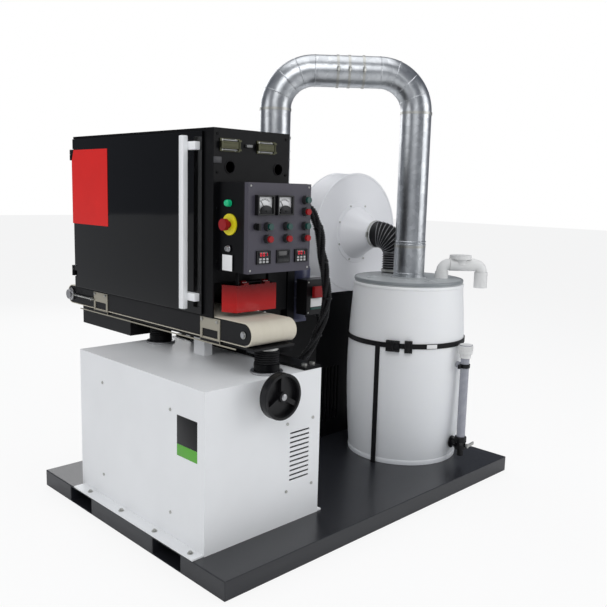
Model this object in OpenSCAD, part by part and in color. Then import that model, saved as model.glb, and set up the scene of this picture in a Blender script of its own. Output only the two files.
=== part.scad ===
/* [Skid] */
// Width of the skid, left to right
skid_w = 1800; // [1700:10:2100]
// Depth of the skid, front to back
skid_d = 1316; // [1250:2:1500]
// Height of the skid
skid_h = 73; // [66:1:90]
// Plate thickness of the skid
skid_wall = 6; // [5:1:8]
// Width of a fork pocket
pocket_w = 180; // [150:5:200]

/* [Base cabinet] */
// Width of the base cabinet
cab_w = 574; // [540:2:600]
// Depth of the base cabinet
cab_d = 882; // [850:2:1000]
// Height of the base cabinet
cab_h = 605; // [500:5:640]
// Distance of the cabinet from the left edge of the skid
cab_left = 50; // [40:2:60]
// Distance of the cabinet from the front edge of the skid
cab_front = 181; // [170:1:200]
// Sheet thickness of the cabinet
sheet = 3; // [2:0.5:4]

/* [Conveyor] */
// Width of the feed belt
belt_w = 229; // [180:1:235]
// Distance between the two roller axles
roller_span = 1326; // [1250:2:1400]
// Diameter of the feed rollers
roller_d = 84; // [80:1:90]
// Thickness of the feed belt
belt_t = 3; // [2:0.5:4]
// Height of the belt's underside above the cabinet top
bed_gap = 113; // [110:1:140]
// Travel of the table lift
lift_travel = 50; // [20:1:60]

/* [Sanding head] */
// Width of the head housing
head_w = 386; // [380:2:400]
// Depth of the head housing
head_d = 1088; // [1060:2:1150]
// Height of the head housing
head_h = 721; // [700:1:760]
// Thickness of the housing's walls
head_wall = 6; // [4:1:8]
// Diameter of the contact drum
drum_roll_d = 150; // [130:2:170]
// Gap between the belt and the abrasive
throat = 12; // [8:1:20]

/* [Control enclosure] */
// Width of the enclosure
box_w = 320; // [310:2:330]
// Height of the enclosure
box_h = 335; // [330:1:350]
// Depth of the enclosure's body
box_d = 150; // [130:2:170]
// Diameter of a push button
button_d = 24; // [20:1:26]
// Running clearance round a button
button_fit = 0.4; // [0.3:0.1:0.6]

/* [Dust collector] */
// Diameter of the dust duct
duct_d = 148; // [120:2:152]
// Diameter of the drum at its ends
barrel_d = 540; // [500:5:560]
// Diameter of the drum at its middle
barrel_bulge_d = 584; // [570:2:600]
// Height of the drum
barrel_h = 864; // [780:2:880]
// Outer radius of the blower's scroll
scroll_r = 308; // [290:2:325]
// Width of the blower's scroll
scroll_w = 140; // [120:2:150]
// Height of the blower's stand
stand_h = 777; // [760:1:790]

/* [Hidden] */
$fn = 48;
eps = 0.01;
run_fit = 0.05;
gap = 0.5;
// skid
skid_x0 = -skid_w / 2;
skid_y0 = -skid_d / 2;
pocket_y = [347, 989];
pocket_wall = 5;
// cabinet
cab_x0 = skid_x0 + cab_left;
cab_y0 = skid_y0 + cab_front;
cab_x1 = cab_x0 + cab_w;
cab_y1 = cab_y0 + cab_d;
cab_top = skid_h + cab_h;
louver_n = 11;
louver_w = 104;
louver_pitch = 19;
louver_x = cab_x1 - 163;
louver_top = cab_top - 241;
screw_d = 7;
frame_w = 49;
front_screws = [[cab_x1 - 179, cab_top - 196], [cab_x1 - 41, cab_top - 196],
                [cab_x1 - 179, cab_top - 470], [cab_x1 - 41, cab_top - 470]];
side_screws = [for (y = [cab_y0 + 208, cab_y0 + 696], z = [skid_h + 99, cab_top - 109]) [y, z]];
// table
belt_x0 = cab_x1 - 336;
belt_x1 = belt_x0 + belt_w;
table_x = (belt_x0 + belt_x1) / 2;
roller_r = roller_d / 2;
belt_r0 = roller_r + 0.3;
belt_r1 = belt_r0 + belt_t;
axle_y0 = cab_y0 + 81;
axle_y1 = axle_y0 + roller_span;
axle_z = cab_top + bed_gap + belt_r1;
axle_d = 20;
belt_top = axle_z + belt_r1;
side_t = 6;
side_r = roller_r - 3;
plate_t = 4;
beam_z1 = cab_top + bed_gap - 3;
beam_h = 84;
beam_t = 10;
beam_y1 = axle_y1 - 85;
jack_y = [cab_y0 + 79, cab_y0 + 800];
jack_d = 100;
jack_h = 38;
ram_d = 50;
ram_down = 250;
post_w = 40;
post_d = 74;
post_y = cab_y0 + 447;
take_up_y = [cab_y0 + 283, cab_y0 + 1125];
take_up_w = 124;
// handwheel
wheel_d = 172;
wheel_x = cab_x0 + 281;
wheel_y = cab_y0 - 72;
wheel_z = cab_top - 47;
wheel_shaft_d = 20;
// head
head_x0 = belt_x0 - 10;
head_x1 = head_x0 + head_w;
head_y0 = cab_y0 + 257;
head_y1 = head_y0 + head_d;
head_z0 = belt_top - 6;
head_z1 = head_z0 + head_h;
head_xm = (head_x0 + head_x1) / 2;
door_t = 8;
door_gap = 1.5;
strip_w = 60;
door_y0 = head_y0 + strip_w;
door_y1 = head_y1 - 8;
door_z0 = head_z0 + 8;
door_z1 = head_z1 - 12;
hinge_pin_d = 10;
hinge_x = head_x0 - 6;
hinge_y = head_y1 + 8;
hinge_z = [head_z0 + 85, head_z1 - 85];
hinge_h = 50;
handle_y = door_y0 + 71;
// sanding unit
unit_y = (head_y0 + head_y1) / 2;
cutter_r = drum_roll_d / 2;
abrasive_t = 2;
cutter_z = belt_top + throat + abrasive_t + 0.3 + cutter_r;
top_roll_d = 110;
top_roll_z = cutter_z + 430;
unit_len = belt_w;
unit_x0 = belt_x0;
unit_x1 = unit_x0 + unit_len;
cutter_axle_d = 35;
arm_t = 12;
arm_x = unit_x1 + 12;
// front panel and enclosure
panel_t = 4;
box_x0 = head_x0 + 24;
box_x1 = box_x0 + box_w;
box_z0 = head_z0 + 186;
box_z1 = box_z0 + box_h;
box_y1 = head_y0;
box_y0 = box_y1 - box_d;
lid_t = 25;
lid_y0 = box_y0 - lid_t;
box_wall = 3;
push_travel = 4;
button_cols = [box_x0 + 92, box_x0 + 189, box_x0 + 287];
button_rows = [box_z0 + 128, box_z0 + 174, box_z0 + 229, box_z0 + 274];
meter_x = [box_x0 + 72, box_x0 + 170];
meter_z = box_z0 + 253;
meter_w = 82;
meter_h = 74;
needle_z = meter_z - 14;
display_x = [box_x0 + 74, box_x0 + 175, box_x0 + 269];
display_z = box_z0 + 60;
collar_d = 34;
stop_y = box_y0 + 78;
stop_z = box_z0 + 178;
lamp_z = box_z0 + 257;
key_z = box_z0 + 88;
// latches
latch_x = [head_x0 + 75, head_x0 + 257];
latch_z = head_z1 - 62;
latch_w = 96;
port_x = [head_x0 + 78, head_x0 + 326];
port_z = head_z1 - 144;
port_d = 44;
// guard
guard_x0 = belt_x0 + 18;
guard_x1 = guard_x0 + 228;
guard_y = head_y0 - 80;
guard_z0 = belt_top + 20;
guard_z1 = guard_z0 + 105;
guard_t = 4;
guard_pin_d = 8;
guard_pin_z = guard_z1 + 8;
guard_pin_y = guard_y + 20;
// head frame
frame_x0 = belt_x1 + 18;
frame_plate_t = 12;
column_y0 = cab_y0 + 520;
column_d = 240;
column_x0 = belt_x1 + 20;
column_x1 = head_x1;
front_post_w = 40;
front_post_x = head_x1 + 8;
front_post_y = head_y0;
// feed motor
motor_x = head_x1 + 128;
motor_y = head_y0 + 75;
motor_d = 118;
motor_z1 = belt_top + 164;
arm_z = axle_z - 20;
switch_w = 140;
switch_h = 150;
switch_d = 62;
switch_x0 = head_x1 + 62;
switch_z0 = belt_top - 31;
switch_y0 = head_y0;
// barrel
barrel_x = skid_x0 + 1512;
barrel_y = skid_y0 + 445;
barrel_r = barrel_d / 2;
bulge_r = barrel_bulge_d / 2;
barrel_wall = 5;
barrel_z1 = skid_h + barrel_h;
lid_h = 20;
lid_r = barrel_r - 3;
barrel_top = barrel_z1 + lid_h;
strap_z = skid_h + 577;
strap_w = 24;
strap_t = 3;
vent_x = barrel_x + 123;
vent_y = barrel_y - 112;
vent_d = 56;
vent_run = 200;
vent_z = 69;
vent_elbow_r = 36;
vent_a = -42;
sight_a = -83;
sight_r = bulge_r + 42;
sight_z0 = skid_h + 70;
sight_z1 = skid_h + 545;
sight_d = 42;
// blower
stand_x0 = barrel_x - 275;
stand_x1 = barrel_x + 180;
stand_y0 = barrel_y + 363;
stand_y1 = stand_y0 + 400;
stand_top = skid_h + stand_h;
fan_x = barrel_x + 8;
fan_z = stand_top + scroll_r + 1;
scroll_y1 = stand_y0 + scroll_w;
fan_wall = 4;
fan_shaft_d = 28;
cone_r = 138;
cone_l = 115;
spigot_d = 136;
spigot_l = 28;
hose_r = 68;
hose_foot_x = barrel_x + 62;
hose_foot_y = barrel_y + 138;
hose_bend = 76;
// duct
riser_x = barrel_x - 502;
riser_y = barrel_y + 463;
duct_r = duct_d / 2;
duct_wall = 2;
duct_top = head_z1 + 345;
elbow_r = 185;
port_out_z = head_z1 - 400;
run_l = norm([barrel_x - riser_x, barrel_y - riser_y]);
run_a = atan2(barrel_y - riser_y, barrel_x - riser_x);
clamp_w = 12;
clamp_t = 3;
// loom route from the enclosure to the cabinet
loom_r = 17;
loom = [[0, 0, 0], [30, 0, 0], [68, -10, -22], [96, -25, -90], [110, -35, -190], [124, -42, -265], [136, -45, -350],
        [132, -42, -430], [110, -25, -520], [84, 0, -600], [50, 30, -662], [10, 30, -680]];
loom_start = [box_x1 + 14, box_y0 + 60, box_z1 - 90];

// button number, column, row
BUTTONS = [[1, 2, 3], [2, 2, 2], [3, 2, 1], [4, 2, 0], [5, 1, 1], [6, 1, 0], [7, 0, 1], [8, 0, 0]];

module rod_x(d, l) { rotate([0, 90, 0]) cylinder(d = d, h = l); }
module rod_y(d, l) { rotate([-90, 0, 0]) cylinder(d = d, h = l); }
module box(a, b) { translate(a) cube(b - a); }
module stadium(r, span, w) {
    rotate([90, 0, 90]) linear_extrude(w) {
        circle(r);
        translate([span, 0]) circle(r);
        translate([0, -r]) square([span, 2 * r]);
    }
}
module pipe(r, wall, h) {
    difference() {
        cylinder(r = r, h = h);
        translate([0, 0, -1]) cylinder(r = r - wall, h = h + 2);
    }
}
module skid() color("#2b2c30") {
    difference() {
        box([skid_x0, skid_y0, 0], [-skid_x0, -skid_y0, skid_h]);
        box([skid_x0 + skid_wall, skid_y0 + skid_wall, -1],
            [-skid_x0 - skid_wall, -skid_y0 - skid_wall, skid_h - skid_wall]);
        for (y = pocket_y) box([skid_x0 - 1, skid_y0 + y - pocket_w / 2, pocket_wall],
            [-skid_x0 + 1, skid_y0 + y + pocket_w / 2, skid_h - skid_wall]);
    }
    for (y = pocket_y) difference() {
        box([skid_x0 + 1, skid_y0 + y - pocket_w / 2 - pocket_wall, 0],
            [-skid_x0 - 1, skid_y0 + y + pocket_w / 2 + pocket_wall, skid_h - skid_wall / 2]);
        box([skid_x0, skid_y0 + y - pocket_w / 2, pocket_wall],
            [-skid_x0, skid_y0 + y + pocket_w / 2, skid_h - skid_wall]);
    }
}

module base_cabinet() color("#e9eaec") {
    difference() {
        box([cab_x0, cab_y0 + sheet, skid_h], [cab_x1, cab_y1, cab_top]);
        box([cab_x0 + sheet, cab_y0 - 1, skid_h - 1], [cab_x1 - sheet, cab_y1 - sheet, cab_top - sheet]);
        for (y = jack_y) translate([table_x, y, cab_top - sheet - 1]) cylinder(d = ram_d + 4, h = sheet + 2);
        box([table_x - post_w / 2 - 2, post_y - 2, cab_top - sheet - 1],
            [table_x + post_w / 2 + 2, post_y + post_d + 2, cab_top + 1]);
        for (s = side_screws) translate([cab_x0 - 1, s[0], s[1]]) rod_x(screw_d, sheet + 2);
        translate([cab_x1 - sheet - 1, loom_start[1] + loom[11][1], loom_start[2] + loom[11][2]]) rod_x(20, sheet + 2);
    }
    difference() {
        union() {
            for (x = [cab_x0 + sheet - eps, cab_x1 - sheet - frame_w]) box([x, cab_y0 + sheet, skid_h],
                [x + frame_w + eps, cab_y0 + 2 * sheet, cab_top - eps]);
            for (z = [cab_top - 485, cab_top - 211])
                box([cab_x0 + sheet, cab_y0 + sheet, z], [cab_x1 - sheet, cab_y0 + 2 * sheet, z + 30]);
        }
        for (s = front_screws) translate([s[0], cab_y0, s[1]]) rod_y(screw_d, 3 * sheet);
    }
    difference() {
        union() {
            box([wheel_x - 40, cab_y0 + sheet, wheel_z - 34], [wheel_x + 40, cab_y0 + 2 * sheet, cab_top - eps]);
            translate([wheel_x, cab_y0 - 12, wheel_z]) rod_y(wheel_shaft_d + 14, 28);
        }
        translate([wheel_x, cab_y0 - 13, wheel_z]) rod_y(wheel_shaft_d + 2 * run_fit, 30);
    }
    box([skid_x0, cab_y0 + sheet, skid_h], [cab_x0 + eps, cab_y1 - 16, skid_h + 6]);
    box([cab_x1 - eps, cab_y0 + sheet, skid_h], [cab_x1 + 24, cab_y1 - 16, skid_h + 6]);
}

module front_cover() color("#e9eaec") difference() {
    box([cab_x0, cab_y0, skid_h], [cab_x1, cab_y0 + sheet, cab_top]);
    for (i = [0 : louver_n - 1]) translate([louver_x, cab_y0 - 1, louver_top - i * louver_pitch])
        cube([louver_w, sheet + 2, 7]);
    for (s = front_screws) translate([s[0], cab_y0 - 1, s[1]]) rod_y(screw_d, sheet + 2);
    translate([wheel_x, cab_y0 - 1, wheel_z]) rod_y(wheel_shaft_d + 16, sheet + 2);
}

module screws() color("#6d6f72") {
    for (s = front_screws) translate([s[0], cab_y0 - 3, s[1]]) {
        rod_y(12, 3);
        rod_y(screw_d - 1, 3 + 2 * sheet);
    }
    for (s = side_screws) translate([cab_x0 - 3, s[0], s[1]]) {
        rod_x(12, 3);
        rod_x(screw_d - 1, 3 + sheet + 2);
    }
    for (x = [frame_x0 + 22, cab_x1 - 24], y = [cab_y0 + 30, cab_y0 + 480, cab_y1 - 40])
        translate([x, y, cab_top + frame_plate_t]) cylinder(d = 24, h = 9, $fn = 6);
}

module head_frame() color("#1b1c1f") {
    difference() {
        box([frame_x0, cab_y0 + 4, cab_top], [cab_x1, cab_y1 - 10, cab_top + frame_plate_t]);
        box([front_post_x - 1, front_post_y - 1, cab_top - 1],
            [front_post_x + front_post_w + 1, front_post_y + front_post_w + 1, cab_top + 20]);
    }
    difference() {
        box([column_x0, column_y0, cab_top + frame_plate_t - eps], [column_x1, column_y0 + column_d, head_z0]);
        box([column_x0 + 8, column_y0 + 8, cab_top + frame_plate_t + 8],
            [column_x1 - 8, column_y0 + column_d - 8, head_z0 + 1]);
    }
    box([frame_x0, column_y0 - 150, cab_top + frame_plate_t - eps], [frame_x0 + 10, column_y0 + eps, head_z0]);
    box([front_post_x, front_post_y, cab_top + frame_plate_t],
        [front_post_x + front_post_w, front_post_y + front_post_w, box_z0 + 60]);
    box([cab_x1 - 40, front_post_y, cab_top + frame_plate_t - eps],
        [front_post_x + eps, front_post_y + front_post_w, cab_top + frame_plate_t + 30]);
    box([head_x1, front_post_y, box_z0 + 20], [front_post_x + eps, front_post_y + front_post_w, box_z0 + 60]);
}

module lift_jacks() color("#17181a") for (y = jack_y) translate([table_x, y, cab_top]) difference() {
    union() {
        cylinder(d = jack_d, h = jack_h);
        cylinder(d = jack_d + 24, h = 8);
    }
    translate([0, 0, -1]) cylinder(d = ram_d + 2 * run_fit, h = jack_h + 2);
}

module lift_rams() color("#b9bbbd") for (y = jack_y) translate([table_x, y, cab_top - ram_down]) {
    cylinder(d = ram_d, h = ram_down + beam_z1 - beam_t - cab_top - 8);
    translate([0, 0, ram_down + beam_z1 - beam_t - cab_top - 8 - eps]) cylinder(d = jack_d - 10, h = 8);
}

module table_post() color("#e4e5e7") difference() {
    box([table_x - post_w / 2, post_y, cab_top - 260], [table_x + post_w / 2, post_y + post_d, beam_z1 - beam_t]);
    box([table_x - post_w / 2 + 4, post_y + 4, cab_top - 261],
        [table_x + post_w / 2 - 4, post_y + post_d - 4, beam_z1 - beam_t - 6]);
}

module handwheel() color("#18191b") translate([wheel_x, wheel_y, wheel_z]) {
    translate([0, -26, 0]) rotate([-90, 0, 0]) {
        pipe(wheel_d / 2, 10, 36);
        translate([0, 0, 22]) cylinder(d = wheel_d - 18, h = 9);
        translate([0, 0, -2]) cylinder(d = 40, h = 33);
        for (a = [0, 120, 240]) rotate(a + 30) translate([10, -9, 6]) cube([wheel_d / 2 - 16, 18, 20]);
    }
    translate([0, 2, 0]) rod_y(wheel_shaft_d, 195);
    translate([0, 90, 0]) rod_y(60, 26);
}

module conveyor_bed() color("#26282b") {
    for (x = [belt_x0, belt_x1 - side_t]) difference() {
        translate([x, axle_y0, axle_z]) stadium(side_r, roller_span, side_t);
        for (y = [axle_y0, axle_y1]) translate([x - 1, y, axle_z]) rod_x(axle_d + 2 * run_fit, side_t + 2);
    }
    box([belt_x0 + 1, axle_y0 + roller_r + 8, axle_z + side_r - 1], [belt_x1 - 1, axle_y1 - roller_r - 8, axle_z + belt_r0 - 0.5]);
    for (y = [axle_y0 + 60, post_y - 40, post_y + post_d + 40, axle_y1 - 100]) box([belt_x0 + 1, y, axle_z - side_r + 4],
        [belt_x1 - 1, y + 40, axle_z + side_r - 4]);
    for (y = take_up_y) box([belt_x0 - plate_t + 1, y - take_up_w / 2 + 1, beam_z1 - beam_t],
        [belt_x1 + plate_t - 1, y + take_up_w / 2 - 1, beam_z1]);
    box([belt_x0 + 12, jack_y[0] - 45, beam_z1 - beam_t], [belt_x1 - 12, beam_y1, beam_z1 - 1]);
    box([belt_x0 + 12, cab_y1 + 6, beam_z1 - beam_h], [belt_x1 - 12, beam_y1, beam_z1 - 2]);
}

module feed_belt() color("#e6dfcb") difference() {
    translate([belt_x0 + gap, axle_y0, axle_z]) stadium(belt_r1, roller_span, belt_w - 2 * gap);
    translate([belt_x0 - 1, axle_y0, axle_z]) stadium(belt_r0, roller_span, belt_w + 2);
}

module roller(y, out_l) translate([belt_x0, y, axle_z]) {
    translate([side_t + gap, 0, 0]) rod_x(roller_d, belt_w - 2 * side_t - 2 * gap);
    translate([-8, 0, 0]) rod_x(axle_d, belt_w + 8 + out_l);
}
module front_roller() color("#8f9295") roller(axle_y0, 8);
module rear_roller() color("#8f9295") {
    roller(axle_y1, 26);
    translate([belt_x0 - 8, axle_y1, axle_z]) mirror([1, 0, 0]) rod_x(46, 14);
}

module take_up_plates() color("#a9a596") for (y = take_up_y, x = [belt_x0 - plate_t, belt_x1]) difference() {
    box([x, y - take_up_w / 2, beam_z1 - 14], [x + plate_t, y + take_up_w / 2, belt_top - 8]);
    box([x - 1, y - take_up_w / 2 + 12, beam_z1 + 3], [x + plate_t + 1, y + take_up_w / 2 - 12, axle_z - 8]);
    box([x - 1, y - take_up_w / 2 + 0.7, beam_z1 - 10.3], [x + plate_t + 1, y + take_up_w / 2 - 0.7, beam_z1]);
}

module feed_gearmotor() color("#4d5668") {
    box([belt_x1 + plate_t, motor_y - 30, arm_z - 14], [motor_x + 40, motor_y + 30, arm_z]);
    box([motor_x - 30, switch_y0, switch_z0 + 20], [motor_x + 30, motor_y, switch_z0 + 130]);
    translate([motor_x, motor_y, arm_z - eps]) cylinder(d = 90, h = 50);
    translate([motor_x, motor_y, arm_z + 48]) cylinder(d = motor_d, h = motor_z1 - arm_z - 48);
}

module switch_box() color("#1d1e20") difference() {
    box([switch_x0, switch_y0 - switch_d, switch_z0], [switch_x0 + switch_w, switch_y0, switch_z0 + switch_h]);
    translate([switch_x0 + 56, switch_y0 - switch_d - 1, switch_z0 + 100]) rod_y(18 + 2 * run_fit, 30);
}
module stop_paddle() color("#c8261f") translate([switch_x0 + 56, switch_y0 - switch_d, switch_z0 + 100]) {
    translate([-31, -22, -24]) cube([62, 14, 46]);
    translate([0, -9, 0]) rod_y(18, 32);
}

module head_housing() color("#141517") {
    difference() {
        box([head_x0, head_y0, head_z0], [head_x1, head_y1, head_z1]);
        box([head_x0 + head_wall, head_y0 + head_wall, head_z0 - 1],
            [head_x1 - head_wall, head_y1 - head_wall, head_z1 - head_wall]);
        box([head_x0 - 1, door_y0 + 20, door_z0 + 14], [head_x0 + head_wall + 1, door_y1 - 20, door_z1 - 14]);
        box([belt_x0 - 3, head_y0 - 1, head_z0 - 1], [belt_x1 + 3, head_y0 + head_wall + 1, guard_z1 + 6]);
        box([belt_x0 - 3, head_y1 - head_wall - 1, head_z0 - 1], [belt_x1 + 3, head_y1 + 1, guard_z1 + 6]);
        for (x = port_x) translate([x, head_y0 - 1, port_z]) rod_y(port_d, head_wall + 2);
        translate([head_x1 - head_wall - 1, riser_y, port_out_z]) rod_x(duct_d - 8, head_wall + 2);
    }
}

module side_door() color("#0d0e10") {
    difference() {
        box([head_x0 - door_gap - door_t, door_y0, door_z0], [head_x0 - door_gap, door_y1, door_z1]);
        box([head_x0 - door_gap - door_t - 1, door_y1 - 22, hinge_z[0] - hinge_h / 2 - 2],
            [head_x0, door_y1 + 1, hinge_z[0] + hinge_h / 2 + 2]);
        box([head_x0 - door_gap - door_t - 1, door_y1 - 22, hinge_z[1] - hinge_h / 2 - 2],
            [head_x0, door_y1 + 1, hinge_z[1] + hinge_h / 2 + 2]);
    }
    for (z = hinge_z) difference() {
        union() {
            translate([hinge_x, hinge_y, z + 1]) cylinder(d = hinge_pin_d + 8, h = hinge_h / 2 - 1);
            box([head_x0 - door_gap - door_t, door_y1 - 23, z + 1], [head_x0 - door_gap - 2, hinge_y, z + hinge_h / 2]);
        }
        translate([hinge_x, hinge_y, z]) cylinder(d = hinge_pin_d + 2 * run_fit, h = hinge_h);
    }
    handle_x = head_x0 - door_gap - door_t - 46;
    box([handle_x, handle_y - 14, door_z0 + 18], [handle_x + 22, handle_y + 14, door_z1 - 18]);
    for (z = [door_z0 + 67, door_z1 - 55])
        box([handle_x + 22 - eps, handle_y - 60, z - 15], [head_x0 - door_gap - door_t + eps, handle_y + 14, z + 15]);
}

module door_hinges() color("#3a3b3e") for (z = hinge_z) {
    translate([hinge_x, hinge_y, z - hinge_h / 2]) cylinder(d = hinge_pin_d, h = hinge_h);
    difference() {
        union() {
            translate([hinge_x, hinge_y, z - hinge_h / 2]) cylinder(d = hinge_pin_d + 8, h = hinge_h / 2);
            box([hinge_x, head_y1, z - hinge_h / 2], [head_x0 + 50, head_y1 + 5, z]);
        }
    }
}

module latch_base(x) translate([x, head_y0, latch_z]) {
    translate([-latch_w / 2, -5, -24]) cube([latch_w, 5, 48]);
    for (s = [-1, 1]) translate([latch_w / 2 - 16, -17, s * 17 - 3]) cube([14, 13, 6]);
    translate([latch_w / 2 - 9, -12, -20]) cylinder(d = 5, h = 40);
}
module latch_bases() color("#5d5e4a") for (x = latch_x) latch_base(x);
module latch_lever(x) color("#6b6c55") translate([x, head_y0, latch_z]) difference() {
    union() {
        translate([-latch_w / 2 + 6, -13, -13]) cube([latch_w - 16, 5, 26]);
        translate([latch_w / 2 - 9, -12, -13]) cylinder(d = 10, h = 26);
        translate([-latch_w / 2 - 2, -17, -13]) cube([10, 8, 26]);
    }
    translate([latch_w / 2 - 9, -12, -14]) cylinder(d = 5 + 2 * run_fit, h = 28);
}

module infeed_guard() color("#b3201c", 0.75) difference() {
    union() {
        box([guard_x0 + 26, guard_y, guard_z0], [guard_x1, guard_y + guard_t, guard_z1]);
        translate([0, 0, guard_z0]) linear_extrude(guard_z1 - guard_z0) polygon([
            [guard_x0 + 26, guard_y], [guard_x0 + 26 + guard_t, guard_y + guard_t],
            [guard_x0 + guard_t, head_y0 - 20], [guard_x0, head_y0 - 20]]);
        box([guard_x1 - guard_t, guard_y, guard_z0], [guard_x1, head_y0 - 20, guard_z1]);
        for (x = [guard_x0 + 60, guard_x1 - 60]) {
            translate([x, guard_pin_y, guard_pin_z]) rod_x(guard_pin_d + 8, 24);
            box([x, guard_y, guard_z1 - 12], [x + 24, guard_pin_y, guard_pin_z]);
        }
    }
    translate([guard_x0, guard_pin_y, guard_pin_z]) rod_x(guard_pin_d + 2 * run_fit, guard_x1 - guard_x0);
}

module control_enclosure() color("#1a1b1d") {
    difference() {
        box([box_x0, box_y0, box_z0], [box_x1, box_y1, box_z1]);
        box([box_x0 + box_wall, box_y0 - 1, box_z0 + box_wall], [box_x1 - box_wall, box_y1 - box_wall, box_z1 - box_wall]);
        translate([box_x0 - 1, stop_y, stop_z]) rod_x(22, box_wall + 2);
        translate([box_x0 - 1, stop_y + 4, lamp_z]) rod_x(16, box_wall + 2);
        translate([box_x1 - box_wall - 1, loom_start[1], loom_start[2]]) rod_x(20, box_wall + 2);
    }
    for (x = [guard_x0 + 40, guard_x1 - 32]) {
        box([x, guard_pin_y - 8, guard_pin_z - 8], [x + 6, guard_pin_y + 8, box_z0 + eps]);
    }
    translate([guard_x0 + 42, guard_pin_y, guard_pin_z]) rod_x(guard_pin_d, guard_x1 - guard_x0 - 70);
    translate([box_x0, stop_y + 2, key_z]) mirror([1, 0, 0]) rod_x(18, 5);
}

module panel_lid() color("#5c5a66") difference() {
    box([box_x0, lid_y0, box_z0], [box_x1, box_y0, box_z1]);
    box([box_x0 + box_wall, lid_y0 + box_wall, box_z0 + box_wall], [box_x1 - box_wall, box_y0 + 1, box_z1 - box_wall]);
    for (b = BUTTONS) translate([button_cols[b[1]], lid_y0 - 1, button_rows[b[2]]]) rod_y(18, box_wall + 2);
    translate([box_x0 + 38, lid_y0 - 1, button_rows[1]]) rod_y(12, box_wall + 2);
}

module panel_meters() color("#17181a") for (x = meter_x) translate([x, lid_y0, meter_z]) difference() {
    translate([-meter_w / 2, -20, -meter_h / 2]) cube([meter_w, 20, meter_h]);
    translate([-meter_w / 2 + 6, -21, -meter_h / 2 + 6]) cube([meter_w - 12, 16, meter_h - 12]);
}
module meter_needle(x) color("#202020") translate([x, lid_y0 - 12, needle_z]) {
    rod_y(6, 6.8);
    rotate([0, -35, 0]) translate([-0.8, 1, 0]) cube([1.6, 1.5, 34]);
}

module panel_displays() color("#121214") for (x = display_x)
    translate([x - 34, lid_y0 - 5, display_z - 25]) cube([68, 5, 50]);

module button_collars() color("#2c2d30") {
    for (b = BUTTONS) translate([button_cols[b[1]], lid_y0, button_rows[b[2]]]) rotate([90, 0, 0])
        pipe(collar_d / 2, (collar_d - button_d) / 2 - button_fit, 18);
    translate([box_x0, stop_y, stop_z]) rotate([0, -90, 0]) pipe(40, 27, 6);
}
module push_button(b, c) color(c) translate([button_cols[b[1]], lid_y0, button_rows[b[2]]]) {
    rotate([90, 0, 0]) translate([0, 0, 5]) cylinder(d = button_d, h = 22);
    translate([0, -6, 0]) rod_y(10, 24);
}
module selector_knob() color("#151617") translate([box_x0 + 38, lid_y0, button_rows[1]]) {
    translate([0, -12, 0]) rod_y(26, 11.5);
    translate([-5, -24, -13]) cube([10, 13, 26]);
    translate([0, -1, 0]) rod_y(10, 16);
}
module emergency_stop() color("#d42a25") translate([box_x0, stop_y, stop_z]) {
    translate([-38, 0, 0]) rod_x(44, 18);
    translate([-22, 0, 0]) rod_x(20, 42);
}
module signal_lamp() color("#1f9d55") translate([box_x0, stop_y + 4, lamp_z]) {
    difference() {
        translate([-12, 0, 0]) sphere(13);
        translate([-6, -20, -20]) cube(40);
    }
    translate([-6.1, 0, 0]) rod_x(26, 6.1);
    translate([-1, 0, 0]) rod_x(14, 20);
}

module contact_drum() color("#3b3c3e") translate([unit_x0, unit_y, cutter_z]) {
    rod_x(drum_roll_d, unit_len);
    rod_x(cutter_axle_d, head_x1 - head_wall - 10 - unit_x0);
}
module tension_roller() color("#a5a7aa") translate([unit_x0, unit_y, top_roll_z]) {
    rod_x(top_roll_d, unit_len);
    rod_x(cutter_axle_d, arm_x + arm_t + 8 - unit_x0);
}
module abrasive_loop(extra) {
    hull() {
        translate([unit_x0, unit_y, cutter_z]) rod_x(drum_roll_d + 2 * extra, unit_len);
        translate([unit_x0, unit_y, top_roll_z]) rod_x(top_roll_d + 2 * extra, unit_len);
    }
}
module abrasive_belt() color("#7a3b25") difference() {
    abrasive_loop(0.3 + abrasive_t);
    translate([unit_x0 - 1, unit_y, cutter_z]) rod_x(drum_roll_d + 0.6, unit_len + 2);
    translate([unit_x0 - 1, unit_y, top_roll_z]) rod_x(top_roll_d + 0.6, unit_len + 2);
    hull() {
        translate([unit_x0 - 1, unit_y, cutter_z]) rod_x(drum_roll_d + 0.6, unit_len + 2);
        translate([unit_x0 - 1, unit_y, top_roll_z]) rod_x(top_roll_d + 0.6, unit_len + 2);
    }
}
module sanding_frame() color("#7d8085") difference() {
    union() {
        box([arm_x, unit_y - 60, cutter_z - 60], [arm_x + arm_t, unit_y + 60, top_roll_z + 40]);
        box([arm_x, unit_y - 60, top_roll_z - 150], [head_x1 - head_wall, unit_y - 48, top_roll_z]);
        box([arm_x, unit_y + 48, top_roll_z - 150], [head_x1 - head_wall, unit_y + 60, top_roll_z]);
        box([unit_x0 + 20, unit_y - 30, cutter_z + 110], [arm_x + eps, unit_y + 30, cutter_z + 190]);
    }
    for (z = [cutter_z, top_roll_z]) translate([arm_x - 1, unit_y, z]) rod_x(cutter_axle_d + 2 * run_fit, arm_t + 2);
}

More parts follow.
